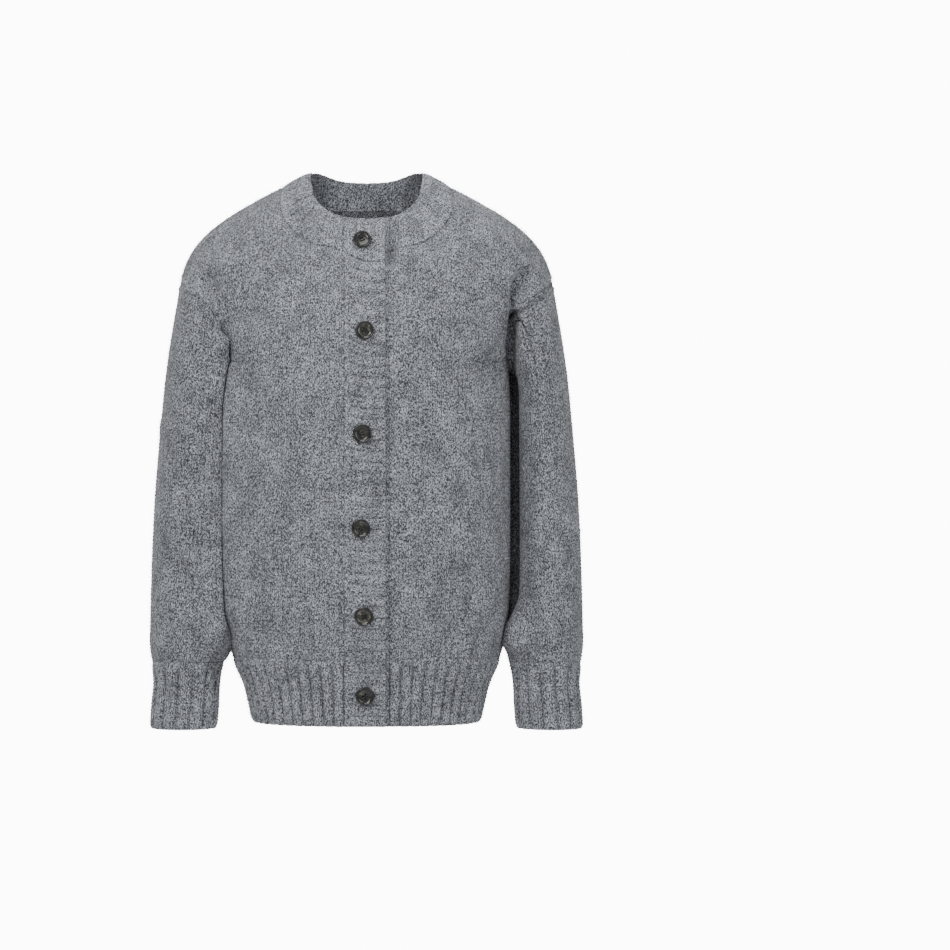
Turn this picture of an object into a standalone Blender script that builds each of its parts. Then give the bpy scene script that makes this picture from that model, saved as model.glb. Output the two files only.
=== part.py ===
"""A crew-neck button cardigan in thick brushed wool, filled out as worn and hollow.

Millimetres in the tables, metres in the meshes.  +Z is up, the front faces -Y and +X is the
wearer's left.  The origin lies between the side neck points, where the shoulders carry the
garment.  Every table gives the outer face of the cloth; a wall is that face and a second one
CLOTH further in.  One smooth skin runs up the front, over the shoulders and down the back, and
the panels, bands and plackets are cut from it along their seams.
"""
import math

import bmesh
import bpy
import numpy as np
from mathutils import Vector
from mathutils.geometry import delaunay_2d_cdt

MM = 0.001
BORDERS = ("hem", "side", "armhole", "shoulder", "neck", "centre")
# a border line's end point takes its place and direction from a seam that meets it there
CORNERS = (
    ("hem", -1, "side", 0),
    ("side", -1, "armhole", 0),
    ("shoulder", 0, "armhole", -1),
    ("neck", 0, "shoulder", -1),
)

# ---------------------------------------------------------------- driving dimensions (mm)
CLOTH = 3.0                 # thickness of the brushed knit
SEAM_GAP = 0.6              # pieces stay this far apart where they are sewn
RIB_RELIEF = 1.3            # how far a rib stands above its furrow
PLACKET_IN = -25.0          # a placket is sewn to its front this far from the centre
PLACKET_OUT = 21.5          # and its free edge reaches this far past the centre
OVERLAP_LIFT = 2.7          # the upper placket lies this far out, the lower one this far in
OVERLAP_RUN = 38.0          # stretch of front over which that lift builds up
ROLL = 4.5                  # width of the upper placket's free edge, and of its seamed edge
NECKBAND_BULGE = 1.2        # roll of the neckband between its seam and its rim
SHOULDER_Y = 8.0            # shoulder seams run along this line, a little behind the side
SQUARE_TRUNK = 0.68         # handle length of the trunk's sections; 0.55 would be an ellipse

HEM_RIBS = 58
CUFF_RIBS = 14
NECK_RIBS = 44
PLACKET_RIBS = 42

# ---------------------------------------------------------------- the trunk's sections
# rise: distance up the front from the hem's edge; the back runs down by the same steps
# columns: rise, height, half_width, front, back, side_lift
TRUNK = (
    (0, -611.5, 130.5, 99, 95, 0),
    (24, -588, 135.5, 101, 97, 0),
    (48, -564, 142, 105, 101, 0),
    (64, -548, 149.5, 109.5, 105, 0),
    (77, -535, 154, 114.5, 109, 0),
    (94, -518, 158.5, 120, 114.5, 0),
    (112, -500, 161.5, 124, 118, 0),
    (157, -455, 164.3, 128, 121, 0),
    (212, -400, 165, 129, 121, 0),
    (312, -300, 165, 127.5, 119, 2),
    (366, -248, 164.6, 126, 118, 7),
)

# ---------------------------------------------------------------- the yoke's courses
# middle: where the course crosses the centre line; ring: where it meets the armhole, in
# degrees round it from the top of the arm; reach: how far it runs straight across the chest;
# out_*: the handle with which it arrives at the armhole seam
# columns: rise, middle_y, middle_z, reach, ring, out_x, out_y, out_z
FRONT_YOKE = (
    (405, -123.5, -212, 112, 180, 6, 68, 14),
    (436, -120, -180, 112, 160, 8, 56, 30),
    (463, -113.5, -147, 115, 140, 18, 46, 30),
    (490, -104, -117, 122, 114, 36, 24, 2),
    (517, -92, -90, 128, 86, 44, 14, -30),
    (547, -71, -52, 124, 48, 40, 16, -58),
    (576, -38, 6, 122, 20, 22, 6, -70),
)
SHOULDER = (600, SHOULDER_Y, 58, 121, 0, 12, 0, -73)
BACK_YOKE = (
    (624, 46, 20, 122, -20, 22, -6, -70),
    (653, 85, -20, 124, -48, 40, -16, -58),
    (683, 103, -62, 128, -86, 44, -14, -30),
    (710, 113.5, -102, 122, -114, 36, -24, 2),
    (737, 119, -140, 115, -140, 18, -46, 30),
    (764, 120, -177, 112, -160, 8, -56, 30),
    (795, 119, -212, 112, -180, 6, -68, 14),
)
SHOULDER_FALL = -76.0       # drop of the shoulder course over its first handle
CHEST_FALL = 0.16           # the same for the other courses, as a share of their whole drop
TOP_RISE = SHOULDER[0]
UNDERARM_RISE = FRONT_YOKE[0][0]
HEM_SEAM_RISE = 77
HEM_RISES = (0.0, 26.0, 52.0)

# the armhole seam, a tilted ring round the upper arm: degrees from the top of the arm, then
# its place on the front half and on the back half
# columns: degrees, x, front_y, front_z, back_y, back_z
ARMHOLE = (
    (0, 213.5, 8, -106, 8, -106),
    (22, 212, -17, -112, 31, -115),
    (45, 205.5, -39, -121, 49, -127),
    (68, 192, -53, -130, 59, -139),
    (90, 177, -58, -140, 61, -150),
    (112, 167.5, -53, -153, 55, -162),
    (135, 164, -39, -168, 41, -174),
    (158, 163, -20, -181, 21, -184),
    (180, 163, 0, -190, 0, -190),
)

# the neck seam, drawn on the skin from the centre line (turn 0) to the side neck point (turn 1):
# distance from the centre line along the course, and drop below the shoulder course
# columns: turn, reach, drop
NECK_FRONT = (
    (0.0, 0, 69),
    (0.16, 29, 66),
    (0.33, 60, 60),
    (0.49, 83, 48),
    (0.63, 97, 36),
    (0.72, 99.5, 28),
    (0.83, 103, 17),
    (1.0, 111, 0),
)
NECK_BACK = (
    (0.0, 0, 51),
    (0.18, 25, 48),
    (0.36, 51, 45),
    (0.5, 71, 40),
    (0.59, 83, 36),
    (0.69, 92, 29),
    (0.82, 101.8, 18.5),
    (1.0, 111, 0),
)
NECK_OVERLAP_DROP = 13.0    # the upper placket pulls its end of the seam down by this much
NECK_OVERLAP_REACH = 45.0   # and this far from the centre it no longer does

# the neckband's rim: share of the half ring from centre front to centre back
# columns: share, x, y, z
RIM = (
    (0.0, 0, -62, -38.5),
    (0.075, 25.5, -60, -36),
    (0.14, 38, -54, -31.5),
    (0.22, 49, -44, -24),
    (0.32, 58, -30, -13),
    (0.44, 62.5, -11, 3),
    (0.57, 64.5, 10, 17.5),
    (0.7, 59, 39, 19),
    (0.8, 46, 57, 17),
    (0.9, 25, 68.5, 14.5),
    (1.0, 0, 72.5, 13.5),
)

# ---------------------------------------------------------------- the sleeves' rings
# columns: height, centre_x, centre_y, half_width, half_depth
SLEEVE = (
    (-240, 200.0, 2, 33.5, 63),
    (-300, 202.9, 3, 36.2, 60),
    (-350, 204.9, 1, 38.2, 57.5),
    (-400, 206.1, -3, 39.4, 55),
    (-450, 206.6, -8, 40.4, 52.5),
    (-500, 205.7, -13, 42.2, 50),
    (-524, 204.3, -15, 43.8, 49),
    (-541, 204.0, -16, 41.6, 45.5),
    (-552, 205.2, -17, 38.9, 42),
    (-565, 205.6, -18, 37.3, 39.5),
    (-590, 207.3, -20, 37.8, 39),
    (-618, 209.2, -22, 37.6, 38.5),
)
CAP_END = -240.0
LEAVE_OUT = 0.17            # how much the sleeve's top leaves the armhole sideways
LEAVE_ASIDE = 0.15          # and how much its front and back spread
CAP_PULL_LOW = 4.0          # length of the cap's first handle at the underarm
CAP_PULL_TOP = 30.0         # and how much longer it is at the top of the arm
HANG_PULL = 0.36            # the cap's last handle, as a share of its height
CUFF_SEAM = -541.0
CUFF_HEIGHTS = (-562.0, -590.0, -618.0)

# ---------------------------------------------------------------- folds in the cloth
# A fold is a soft trough (depth below zero) or ridge along a line seen from the front or the
# back: x and z at its two ends, its half width, and its depth.
# columns: face, x_0, z_0, x_1, z_1, half_width, depth
BODY_FOLDS = (
    ("front", 184, -98, 166, -160, 10, -9),
    ("front", -184, -98, -166, -160, 10, -9),
    ("back", 184, -100, 166, -165, 10, -9),
    ("back", -184, -100, -166, -165, 10, -9),
    ("front", -134, -80, -132, -150, 13, -3),
    ("front", 140, -205, 92, -265, 22, -3.5),
    ("front", -142, -215, -100, -300, 24, -3.5),
    ("front", 52, -290, 92, -318, 14, -2.5),
    ("front", 118, -420, 70, -545, 20, -3.5),
    ("front", -128, -395, -96, -500, 22, -3),
    ("front", -62, -470, -50, -560, 18, 2.5),
    ("back", 96, -255, -96, -266, 20, -3.2),
    ("back", 128, -210, 70, -300, 24, -3.5),
    ("back", -126, -205, -76, -290, 24, -3.5),
    ("back", 40, -400, 58, -560, 20, 3),
    ("back", -46, -420, -64, -560, 20, 3),
    ("back", 118, -430, 98, -560, 20, -3),
    ("back", -112, -440, -100, -560, 20, -3),
)
# On a sleeve the line is drawn by degrees round it (0 outside, 90 front) and by height.
# columns: side, deg_0, z_0, deg_1, z_1, half_width, depth
SLEEVE_FOLDS = (
    ("right", 20, -268, 95, -305, 13, -3.5),
    ("right", 30, -380, 120, -352, 14, -4.5),
    ("right", 60, -470, 130, -500, 15, -3.5),
    ("right", -60, -330, -130, -352, 15, -4),
    ("right", -70, -455, -20, -490, 15, -3.5),
    ("left", 35, -290, 110, -318, 14, -3.5),
    ("left", 25, -398, 115, -368, 14, -4.5),
    ("left", 40, -498, 110, -470, 15, -3.5),
    ("left", -50, -345, -125, -368, 15, -4),
    ("left", -120, -470, -50, -500, 15, -3.5),
)
ARM_RADIUS = 48.0           # turns degrees round a sleeve into millimetres
FOLD_FREE = 24.0            # folds die out over this distance from a side or armhole seam
CUFF_FREE = 30.0            # and over this height above a cuff seam
FACING_GAIN = 1.6           # folds die out where the cloth turns to the side
FACING_START = 0.3

# ---------------------------------------------------------------- buttons
# columns: x, z, lean_side, lean_up
BUTTONS = (
    (-5.0, -64.5, 4, 24),
    (-2.2, -168.0, 3, 4),
    (-4.7, -283.0, -3, 3),
    (-6.4, -388.0, 2, -3),
    (-2.7, -486.0, -4, -4),
    (-1.8, -576.0, 3, -6),
)
BUTTON_RADIUS = 10.5
BUTTON_CLEARANCE = 0.6      # between a button's back and the highest cloth under it
BUTTON_ZONE = 30.0          # cloth that far to the side is looked at for that clearance
FRONT_OF = -40.0            # and only cloth further forward than this
DRILL_MIDDLE = 1.5
DRILL_DEPTH = 8.0
# the turned half section, from the middle of the back round to the middle of the face
# columns: radius_share, height
BUTTON_PROFILE = (
    (0.0, 0.0),
    (0.62, 0.0),
    (0.96, 1.3),
    (1.0, 2.5),
    (0.86, 3.6),
    (0.62, 2.5),
    (0.0, 2.1),
)
BUTTON_SIDES = 16
HOLE_RADIUS = 1.15
HOLE_OFFSET = 2.1
HOLE_SIDES = 5

# ---------------------------------------------------------------- how finely the cloth is cut
COLUMNS = 12                # half a panel, from its centre edge to its side
NECK_STEPS = 20
NECKBAND_SHARES = (0.34, 0.68, 1.0)
SHOULDER_STEPS = 7
CENTRE_STEPS = 18
ROWS_LOW = 11               # hem seam to underarm
ROWS_YOKE = 12              # underarm to shoulder
HEM_SAMPLES = 30            # points along each quarter of the hem
NEAREST_TO_BORDER = 6.5     # a panel's inner points keep this far from its border
CAP_ROWS = 7
SLEEVE_ROWS = 9
CURVE_SAMPLES = 41

WOOL_GREY = (0.205, 0.213, 0.228, 1.0)
HORN_BROWN = (0.018, 0.014, 0.012, 1.0)


# ================================================================ curves and tables
def between_rows(knots, rows, at, corners=()):
    """Read a table between its rows along smooth curves through them; at is an array.

    corners names the knots where the last six columns may turn sharply.
    """
    knots = np.asarray(knots, float)
    rows = np.asarray(rows, float)
    at = np.clip(np.asarray(at, float), knots[0], knots[-1])
    step = np.diff(knots)
    rate = np.diff(rows, axis=0) / step[:, None]
    slope = np.empty_like(rows)
    slope[0] = rate[0]
    slope[-1] = rate[-1]
    before = step[:-1, None]
    after = step[1:, None]
    slope[1:-1] = (rate[:-1] * after + rate[1:] * before) / (before + after)
    leaving = slope.copy()
    arriving = slope.copy()
    for knot in corners:
        k = int(np.searchsorted(knots, knot))
        leaving[k, 6:] = rate[k, 6:]
        arriving[k, 6:] = rate[k - 1, 6:]
    i = np.clip(np.searchsorted(knots, at, side="right") - 1, 0, len(step) - 1)
    t = ((at - knots[i]) / step[i])[:, None]
    h = step[i][:, None]
    return ((1 + 2 * t) * (1 - t) ** 2 * rows[i] + t * (1 - t) ** 2 * h * leaving[i]
            + t * t * (3 - 2 * t) * rows[i + 1] + t * t * (t - 1) * h * arriving[i + 1])


def bezier(handles, t):
    """Points on cubic curves; handles is (..., 4, 3) and t is one value for each."""
    t = np.asarray(t)[..., None]
    s = 1 - t
    return (s ** 3 * handles[..., 0, :] + 3 * s * s * t * handles[..., 1, :]
            + 3 * s * t * t * handles[..., 2, :] + t ** 3 * handles[..., 3, :])


def ease(value):
    """0 below 0, 1 above 1, and a soft S between."""
    value = np.clip(value, 0.0, 1.0)
    return value * value * (3 - 2 * value)


def unit(vectors):
    return vectors / np.linalg.norm(vectors, axis=-1, keepdims=True)


def fold_depth(folds, across, height):
    """Sum of the folds at each point of a face."""
    total = np.zeros_like(across)
    for x_0, z_0, x_1, z_1, half_width, depth in folds:
        run = np.array((x_1 - x_0, z_1 - z_0), float)
        length = np.hypot(*run)
        along = ((across - x_0) * run[0] + (height - z_0) * run[1]) / length
        aside = ((across - x_0) * run[1] - (height - z_0) * run[0]) / length
        ends = ease(along / (0.3 * length) + 0.5) * ease((length - along) / (0.3 * length) + 0.5)
        total += depth * np.exp(-(aside / half_width) ** 2) * ends
    return total


# ================================================================ the skin of the trunk and yoke
def armhole_point(degrees):
    """Points of the armhole seam; 0 is the top of the arm, 90 the front, 180 the underarm."""
    turn = (np.asarray(degrees, float).reshape(-1) + 180.0) % 360.0 - 180.0
    rows = np.array(ARMHOLE, float)
    around = np.concatenate((-rows[::-1, 0], rows[1:, 0]))
    front = rows[:, (1, 2, 3)]
    back = rows[:, (1, 4, 5)]
    return between_rows(around, np.concatenate((back[::-1], front[1:])), turn)


def trunk_course(row, face):
    rise, height, half_width, front, back, side_lift = row
    depth = -front if face == "front" else back
    reach = SQUARE_TRUNK * half_width
    course = ((0, depth, height), (reach, depth, height),
              (half_width, SQUARE_TRUNK * depth, height + side_lift * 0.6),
              (half_width, 0, height + side_lift))
    return (rise if face == "front" else 2 * TOP_RISE - rise), course


def yoke_course(row):
    rise, middle_y, middle_z, reach, ring, out_x, out_y, out_z = row
    end = armhole_point(ring)[0]
    slope = (end[2] - middle_z) * CHEST_FALL
    if rise == TOP_RISE:
        slope = SHOULDER_FALL
    course = ((0, middle_y, middle_z), (reach, middle_y, middle_z + slope),
              tuple(end - np.array((out_x, out_y, out_z), float)), tuple(end))
    return rise, course


def all_courses():
    """Handles of every course, from the front hem over the shoulder to the back hem."""
    courses = [trunk_course(row, "front") for row in TRUNK]
    courses += [yoke_course(row) for row in (*FRONT_YOKE, SHOULDER, *BACK_YOKE)]
    courses += [trunk_course(row, "back") for row in reversed(TRUNK)]
    rises = np.array([rise for rise, _ in courses], float)
    handles = np.array([course for _, course in courses], float)
    return rises, handles.reshape(len(courses), 12)


RISES, COURSES = all_courses()
UNDERARMS = (UNDERARM_RISE, 2 * TOP_RISE - UNDERARM_RISE)


def course_handles(rise):
    return between_rows(RISES, COURSES, rise, UNDERARMS).reshape(-1, 4, 3)


def bare_skin(reach, rise):
    """Points on the skin, wearer's left half, by distance from the centre line and by rise."""
    reach = np.abs(np.asarray(reach, float))
    handles = course_handles(rise)
    t = np.linspace(0, 1, CURVE_SAMPLES)
    curve = bezier(handles[:, None, :, :], np.broadcast_to(t, (len(handles), CURVE_SAMPLES)))
    length = np.zeros(curve.shape[:2])
    length[:, 1:] = np.cumsum(np.linalg.norm(np.diff(curve, axis=1), axis=2), axis=1)
    wanted = np.minimum(reach, length[:, -1])
    i = np.clip((length <= wanted[:, None]).sum(axis=1) - 1, 0, CURVE_SAMPLES - 2)
    pick = np.arange(len(handles))
    part = (wanted - length[pick, i]) / (length[pick, i + 1] - length[pick, i])
    return bezier(handles, t[i] + part * (t[1] - t[0]))


def course_length(rise):
    """Length of each course from the centre line to its side or armhole seam."""
    handles = course_handles(rise)
    t = np.broadcast_to(np.linspace(0, 1, CURVE_SAMPLES), (len(handles), CURVE_SAMPLES))
    curve = bezier(handles[:, None, :, :], t)
    return np.linalg.norm(np.diff(curve, axis=1), axis=2).sum(axis=1)


def skin_directions(reach, rise):
    """Outward unit vectors of the bare skin."""
    step = 1.0
    full = course_length(rise)
    lo = np.clip(np.abs(reach) - step, 0, None)
    hi = np.minimum(np.abs(reach) + step, full)
    across = bare_skin(hi, rise) - bare_skin(lo, rise)
    low_rise = np.clip(rise - step, RISES[0], None)
    high_rise = np.clip(rise + step, None, RISES[-1])
    share = np.abs(reach) / full
    up = (bare_skin(share * course_length(high_rise), high_rise)
          - bare_skin(share * course_length(low_rise), low_rise))
    return unit(np.cross(across, up))


def skin(reach, rise, side):
    """Outer face of the worn cloth and its outward direction; side is 1 left, -1 right.

    reach may be negative, for cloth that crosses the centre line from its own side.
    """
    reach, rise = np.broadcast_arrays(np.asarray(reach, float), np.asarray(rise, float))
    shape = reach.shape
    reach = reach.ravel()
    rise = rise.ravel()
    point = bare_skin(reach, rise)
    out = skin_directions(reach, rise)
    hand = side * np.where(reach < 0, -1.0, 1.0)
    point[:, 0] *= hand
    out[:, 0] *= hand
    face = "front" if rise.mean() < TOP_RISE else "back"
    folds = [fold[1:] for fold in BODY_FOLDS if fold[0] == face]
    from_seam = ease((course_length(rise) - np.abs(reach)) / FOLD_FREE)
    facing = ease(np.abs(out[:, 1]) * FACING_GAIN - FACING_START)
    depth = fold_depth(folds, point[:, 0], point[:, 2]) * from_seam * facing
    point += out * depth[:, None]
    if face == "front":
        lift = ease((OVERLAP_RUN - PLACKET_IN - reach) / OVERLAP_RUN)
        point[:, 1] += side * OVERLAP_LIFT * lift
    return point.reshape(shape + (3,)), out.reshape(shape + (3,))


def neck_curve(turn, face, side):
    """Reach and rise of the neck seam; turn below 0 is past the centre line."""
    table = np.array(NECK_FRONT if face == "front" else NECK_BACK, float)
    read = between_rows(table[:, 0], table[:, 1:], np.abs(turn))
    reach = read[:, 0] * np.where(turn < 0, -1.0, 1.0)
    if face == "back":
        return reach, TOP_RISE + read[:, 1]
    drop = read[:, 1]
    if side < 0:
        pulled = (NECK_OVERLAP_REACH - reach) / (NECK_OVERLAP_REACH + 5)
        drop = drop + NECK_OVERLAP_DROP * ease(pulled)
    return reach, TOP_RISE - drop


def neck_turn(reach):
    """The turn at which the front neck seam is this far from the centre line."""
    table = np.array(NECK_FRONT, float)
    turns = np.linspace(0, 1, 201)
    reaches = between_rows(table[:, 0], table[:, 1:], turns)[:, 0]
    return math.copysign(float(np.interp(abs(reach), reaches, turns)), reach)


# ================================================================ solids
def wall(name, outer, inner, material, round_tube=False):
    """A closed solid between two faces.  The inner face may have fewer columns."""
    rows, columns = outer.shape[:2]
    inner_columns = inner.shape[1]
    per = (columns - (0 if round_tube else 1)) // (inner_columns - (0 if round_tube else 1))
    mesh = bmesh.new()
    out = [[mesh.verts.new(point * MM) for point in row] for row in outer]
    into = [[mesh.verts.new(point * MM) for point in row] for row in inner]
    last_out = columns if round_tube else columns - 1
    last_in = inner_columns if round_tube else inner_columns - 1
    for r in range(rows - 1):
        for c in range(last_out):
            d = (c + 1) % columns
            mesh.faces.new((out[r][c], out[r][d], out[r + 1][d], out[r + 1][c]))
    for r in range(rows - 1):
        for c in range(last_in):
            d = (c + 1) % inner_columns
            mesh.faces.new((into[r][d], into[r][c], into[r + 1][c], into[r + 1][d]))
    for c in range(last_in):
        d = (c + 1) % inner_columns
        for r, turn in ((0, 1), (rows - 1, -1)):
            edge = [out[r][(c * per + k) % columns] for k in range(per + 1)]
            ends = (edge[0], edge[-1], into[r][c], into[r][d])
            if per > 1:
                mesh.faces.new((edge[::-1] + [into[r][c], into[r][d]])[::turn])
            elif turn > 0:
                cut_face(mesh, *ends)
            else:
                cut_face(mesh, ends[1], ends[0], ends[3], ends[2])
    if not round_tube:
        for r in range(rows - 1):
            mesh.faces.new((out[r][0], out[r + 1][0], into[r + 1][0], into[r][0]))
            mesh.faces.new((out[r + 1][-1], out[r][-1], into[r][-1], into[r + 1][-1]))
    if mesh.calc_volume(signed=True) < 0:
        bmesh.ops.reverse_faces(mesh, faces=mesh.faces)
    return add_object(name, mesh, material)


def add_object(name, mesh, material):
    data = bpy.data.meshes.new(name)
    mesh.to_mesh(data)
    mesh.free()
    data.shade_smooth()
    data.set_sharp_from_angle(angle=math.radians(40))
    data.materials.append(material)
    obj = bpy.data.objects.new(name, data)
    bpy.context.scene.collection.objects.link(obj)
    return obj


def finish(name, colour, roughness):
    material = bpy.data.materials.new(name)
    material.use_nodes = True
    shader = material.node_tree.nodes["Principled BSDF"]
    shader.inputs["Base Color"].default_value = colour
    shader.inputs["Roughness"].default_value = roughness
    shader.inputs["Metallic"].default_value = 0.0
    material.diffuse_color = colour
    return material


def wool(name):
    return finish(name + "_wool", WOOL_GREY, 0.95)


def ribbed(count):
    """Column stops and relief of a run of ribs: a furrow, then the rib's two shoulders."""
    stops = [(k + part) / count for k in range(count) for part in (0.0, 0.3, 0.72)]
    raised = [height for _ in range(count) for height in (0.0, 1.0, 1.0)]
    return np.array(stops + [1.0]), np.array(raised + [0.0])


def pull_in(points, outs, borders):
    """Draw the borders of a grid back into its own cloth by half a seam gap."""
    points = points.copy()
    for border in borders:
        if border in ("left", "right"):
            turned = pull_in(points.swapaxes(0, 1), outs.swapaxes(0, 1),
                             ["bottom" if border == "left" else "top"])
            points = turned.swapaxes(0, 1)
            continue
        edge, inside = (0, 1) if border == "bottom" else (-1, -2)
        tangent = unit(np.gradient(points[edge], axis=0))
        back = unit(np.cross(outs[edge], tangent))
        inward = (back * (points[inside] - points[edge])).sum(axis=1, keepdims=True)
        points[edge] += back * np.sign(inward) * (SEAM_GAP / 2)
    return points


def along_line(points, outs, at):
    """Points and directions at shares of a line's length, on its straight stretches."""
    step = np.linalg.norm(np.diff(points, axis=0), axis=1)
    gone = np.concatenate(([0.0], np.cumsum(step)))
    gone /= gone[-1]
    read = [np.interp(at, gone, values[:, k]) for values in (points, outs) for k in range(3)]
    return np.stack(read[:3], axis=1), np.stack(read[3:], axis=1)


def join_lines(lines):
    """Join lines end to end; each is its points and their outward directions."""
    points = [lines[0][0]]
    outs = [lines[0][1]]
    for line in lines[1:]:
        points.append(line[0][1:])
        outs.append(line[1][1:])
    return np.concatenate(points), np.concatenate(outs)


# ================================================================ panels
def rise_at(up, face):
    """Courses are counted up each face from its hem; the skin counts on over the shoulder."""
    return up if face == "front" else 2 * TOP_RISE - up


def half_border(side, face):
    """Border lines of half a panel, in order round it from the hem, as reach and up."""
    start = 0.0 if face == "back" else -PLACKET_IN
    low = np.linspace(HEM_SEAM_RISE, UNDERARM_RISE, ROWS_LOW + 1)
    yoke = np.linspace(UNDERARM_RISE, TOP_RISE, ROWS_YOKE + 1)
    edge = {up: course_length(rise_at(np.array([float(up)]), face))[0]
            for up in (*low, *yoke)}
    reach, rise = neck_curve(np.linspace(1, neck_turn(start), NECK_STEPS + 1), face, side)
    neck_up = rise if face == "front" else 2 * TOP_RISE - rise
    shoulder = np.linspace(edge[TOP_RISE], reach[0], SHOULDER_STEPS + 1)
    hem = np.linspace(start, edge[HEM_SEAM_RISE], COLUMNS + 1)
    down = neck_up[-1] + (HEM_SEAM_RISE - neck_up[-1]) * np.linspace(0, 1, CENTRE_STEPS + 1)
    return {
        "hem": (hem, np.full_like(hem, HEM_SEAM_RISE)),
        "side": (np.array([edge[up] for up in low]), low),
        "armhole": (np.array([edge[up] for up in yoke]), yoke),
        "shoulder": (shoulder, np.full_like(shoulder, TOP_RISE)),
        "neck": (reach, neck_up),
        "centre": (np.full_like(down, start), down),
    }


def filling(borders, face, start):
    """Reach and up of the points inside half a panel, in level rows."""
    corners = np.concatenate([np.stack(line, axis=1)[:-1] for line in borders.values()])
    neck_reach, neck_up = borders["neck"]
    kept = []
    rows = np.concatenate((borders["side"][1][1:], borders["armhole"][1][1:-1]))
    for up in rows:
        edge = course_length(rise_at(np.array([up]), face))[0]
        for reach in np.linspace(start, edge, COLUMNS + 1)[1:-1]:
            under_neck = up < np.interp(reach, neck_reach[::-1], neck_up[::-1])
            if under_neck and border_distance(corners, reach, up) > NEAREST_TO_BORDER:
                kept.append((reach, up))
        if start == 0.0 and up < neck_up[-1] - NEAREST_TO_BORDER:
            kept.append((0.0, up))
    return np.array(kept)


def border_distance(corners, reach, up):
    """Distance from a point to a closed border."""
    run = np.roll(corners, -1, axis=0) - corners
    offset = np.array((reach, up)) - corners
    share = np.clip((offset * run).sum(axis=1) / (run ** 2).sum(axis=1), 0, 1)
    return float(np.linalg.norm(offset - run * share[:, None], axis=1).min())


def sleeve_leave(degrees):
    """The way the sleeve leaves the armhole seam."""
    a = np.radians(np.asarray(degrees, float))
    half = np.sin(a / 2) ** 2
    out = LEAVE_OUT + (1 - LEAVE_OUT) * half
    return unit(np.stack((out, -LEAVE_ASIDE * np.sin(a), -np.cos(a / 2)), axis=-1))


def make_panels():
    """Fronts and back; gives the lines that the bands and sleeves are sewn to."""
    lines = {}
    for side in (-1, 1):
        for face in ("front", "back"):
            for name, (reach, up) in half_border(side, face).items():
                points, outs = skin(reach, rise_at(up, face), side)
                lines[side, face, name] = [points, outs, reach, up]
    armholes = {}
    for side in (-1, 1):
        for name in ("side", "shoulder"):
            share_edge(lines[side, "front", name], lines[side, "back", name])
        armholes[side] = sew_armhole(lines[side, "front", "armhole"],
                                     lines[side, "back", "armhole"], side)
        for face in ("front", "back"):
            for name, end, shared, start in CORNERS:
                for k in (0, 1):
                    lines[side, face, name][k][end] = lines[side, face, shared][k][start]
    for side, name in ((-1, "front_right"), (1, "front_left")):
        half = [lines[side, "front", border] for border in BORDERS]
        inside = filling({border: tuple(lines[side, "front", border][2:]) for border in BORDERS},
                         "front", -PLACKET_IN)
        cloth_panel(name, half, inside, "front", side)
    left = [lines[1, "back", border] for border in BORDERS[:-1]]
    right = []
    for border in reversed(BORDERS[:-1]):
        points, outs, reach, up = (values[::-1] for values in lines[-1, "back", border])
        right.append([points, outs, -reach, up])
    inside = filling({border: tuple(lines[1, "back", border][2:]) for border in BORDERS},
                     "back", 0.0)
    mirrored = inside[inside[:, 0] > 0] * np.array((-1.0, 1.0))
    cloth_panel("back", left + right, np.concatenate((inside, mirrored)), "back", 1)
    return lines, armholes


def cloth_panel(name, border, inside, face, side):
    """A panel from its border lines and the points inside, all on the skin."""
    points = np.concatenate([line[0][:-1] for line in border])
    outs = np.concatenate([line[1][:-1] for line in border])
    flat = np.concatenate([np.stack(line[2:], axis=1)[:-1] for line in border])
    hand = np.where(inside[:, 0] < 0, -1, 1) if face == "back" else np.full(len(inside), side)
    inner_points = np.zeros((len(inside), 3))
    inner_outs = np.zeros((len(inside), 3))
    for way in (-1, 1):
        mine = hand == way
        if mine.any():
            read = skin(np.abs(inside[mine, 0]), rise_at(inside[mine, 1], face), way)
            inner_points[mine], inner_outs[mine] = read
    count = len(points)
    points = np.concatenate((pull_loop(points, outs), inner_points))
    outs = np.concatenate((outs, inner_outs))
    flat = np.concatenate((flat, inside))
    cut = delaunay_2d_cdt([Vector(place) for place in flat], [], [list(range(count))], 1, 1e-4)
    source = [origins[0] for origins in cut[3]]
    triangles = [[source[k] for k in face_corners] for face_corners in cut[2]]
    cloth_wall(name, points, points - outs * CLOTH, triangles, count)


def cloth_wall(name, outer, inner, triangles, border):
    """A closed solid between two faces of the same triangles; the border's points come first."""
    mesh = bmesh.new()
    out = [mesh.verts.new(point * MM) for point in outer]
    into = [mesh.verts.new(point * MM) for point in inner]
    for a, b, c in triangles:
        mesh.faces.new((out[a], out[b], out[c]))
        mesh.faces.new((into[c], into[b], into[a]))
    for a in range(border):
        b = (a + 1) % border
        cut_face(mesh, out[a], out[b], into[a], into[b])
    if mesh.calc_volume(signed=True) < 0:
        bmesh.ops.reverse_faces(mesh, faces=mesh.faces)
    return add_object(name, mesh, wool(name))


def cut_face(mesh, out_a, out_b, in_a, in_b):
    """The thickness of the cloth between two border points.

    Neighbours split it the same way, by its higher end, so that twisted cut faces stay apart.
    """
    if out_a.co.z > out_b.co.z:
        mesh.faces.new((out_b, out_a, in_b))
        mesh.faces.new((out_a, in_a, in_b))
    else:
        mesh.faces.new((out_b, out_a, in_a))
        mesh.faces.new((out_b, in_a, in_b))


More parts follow.
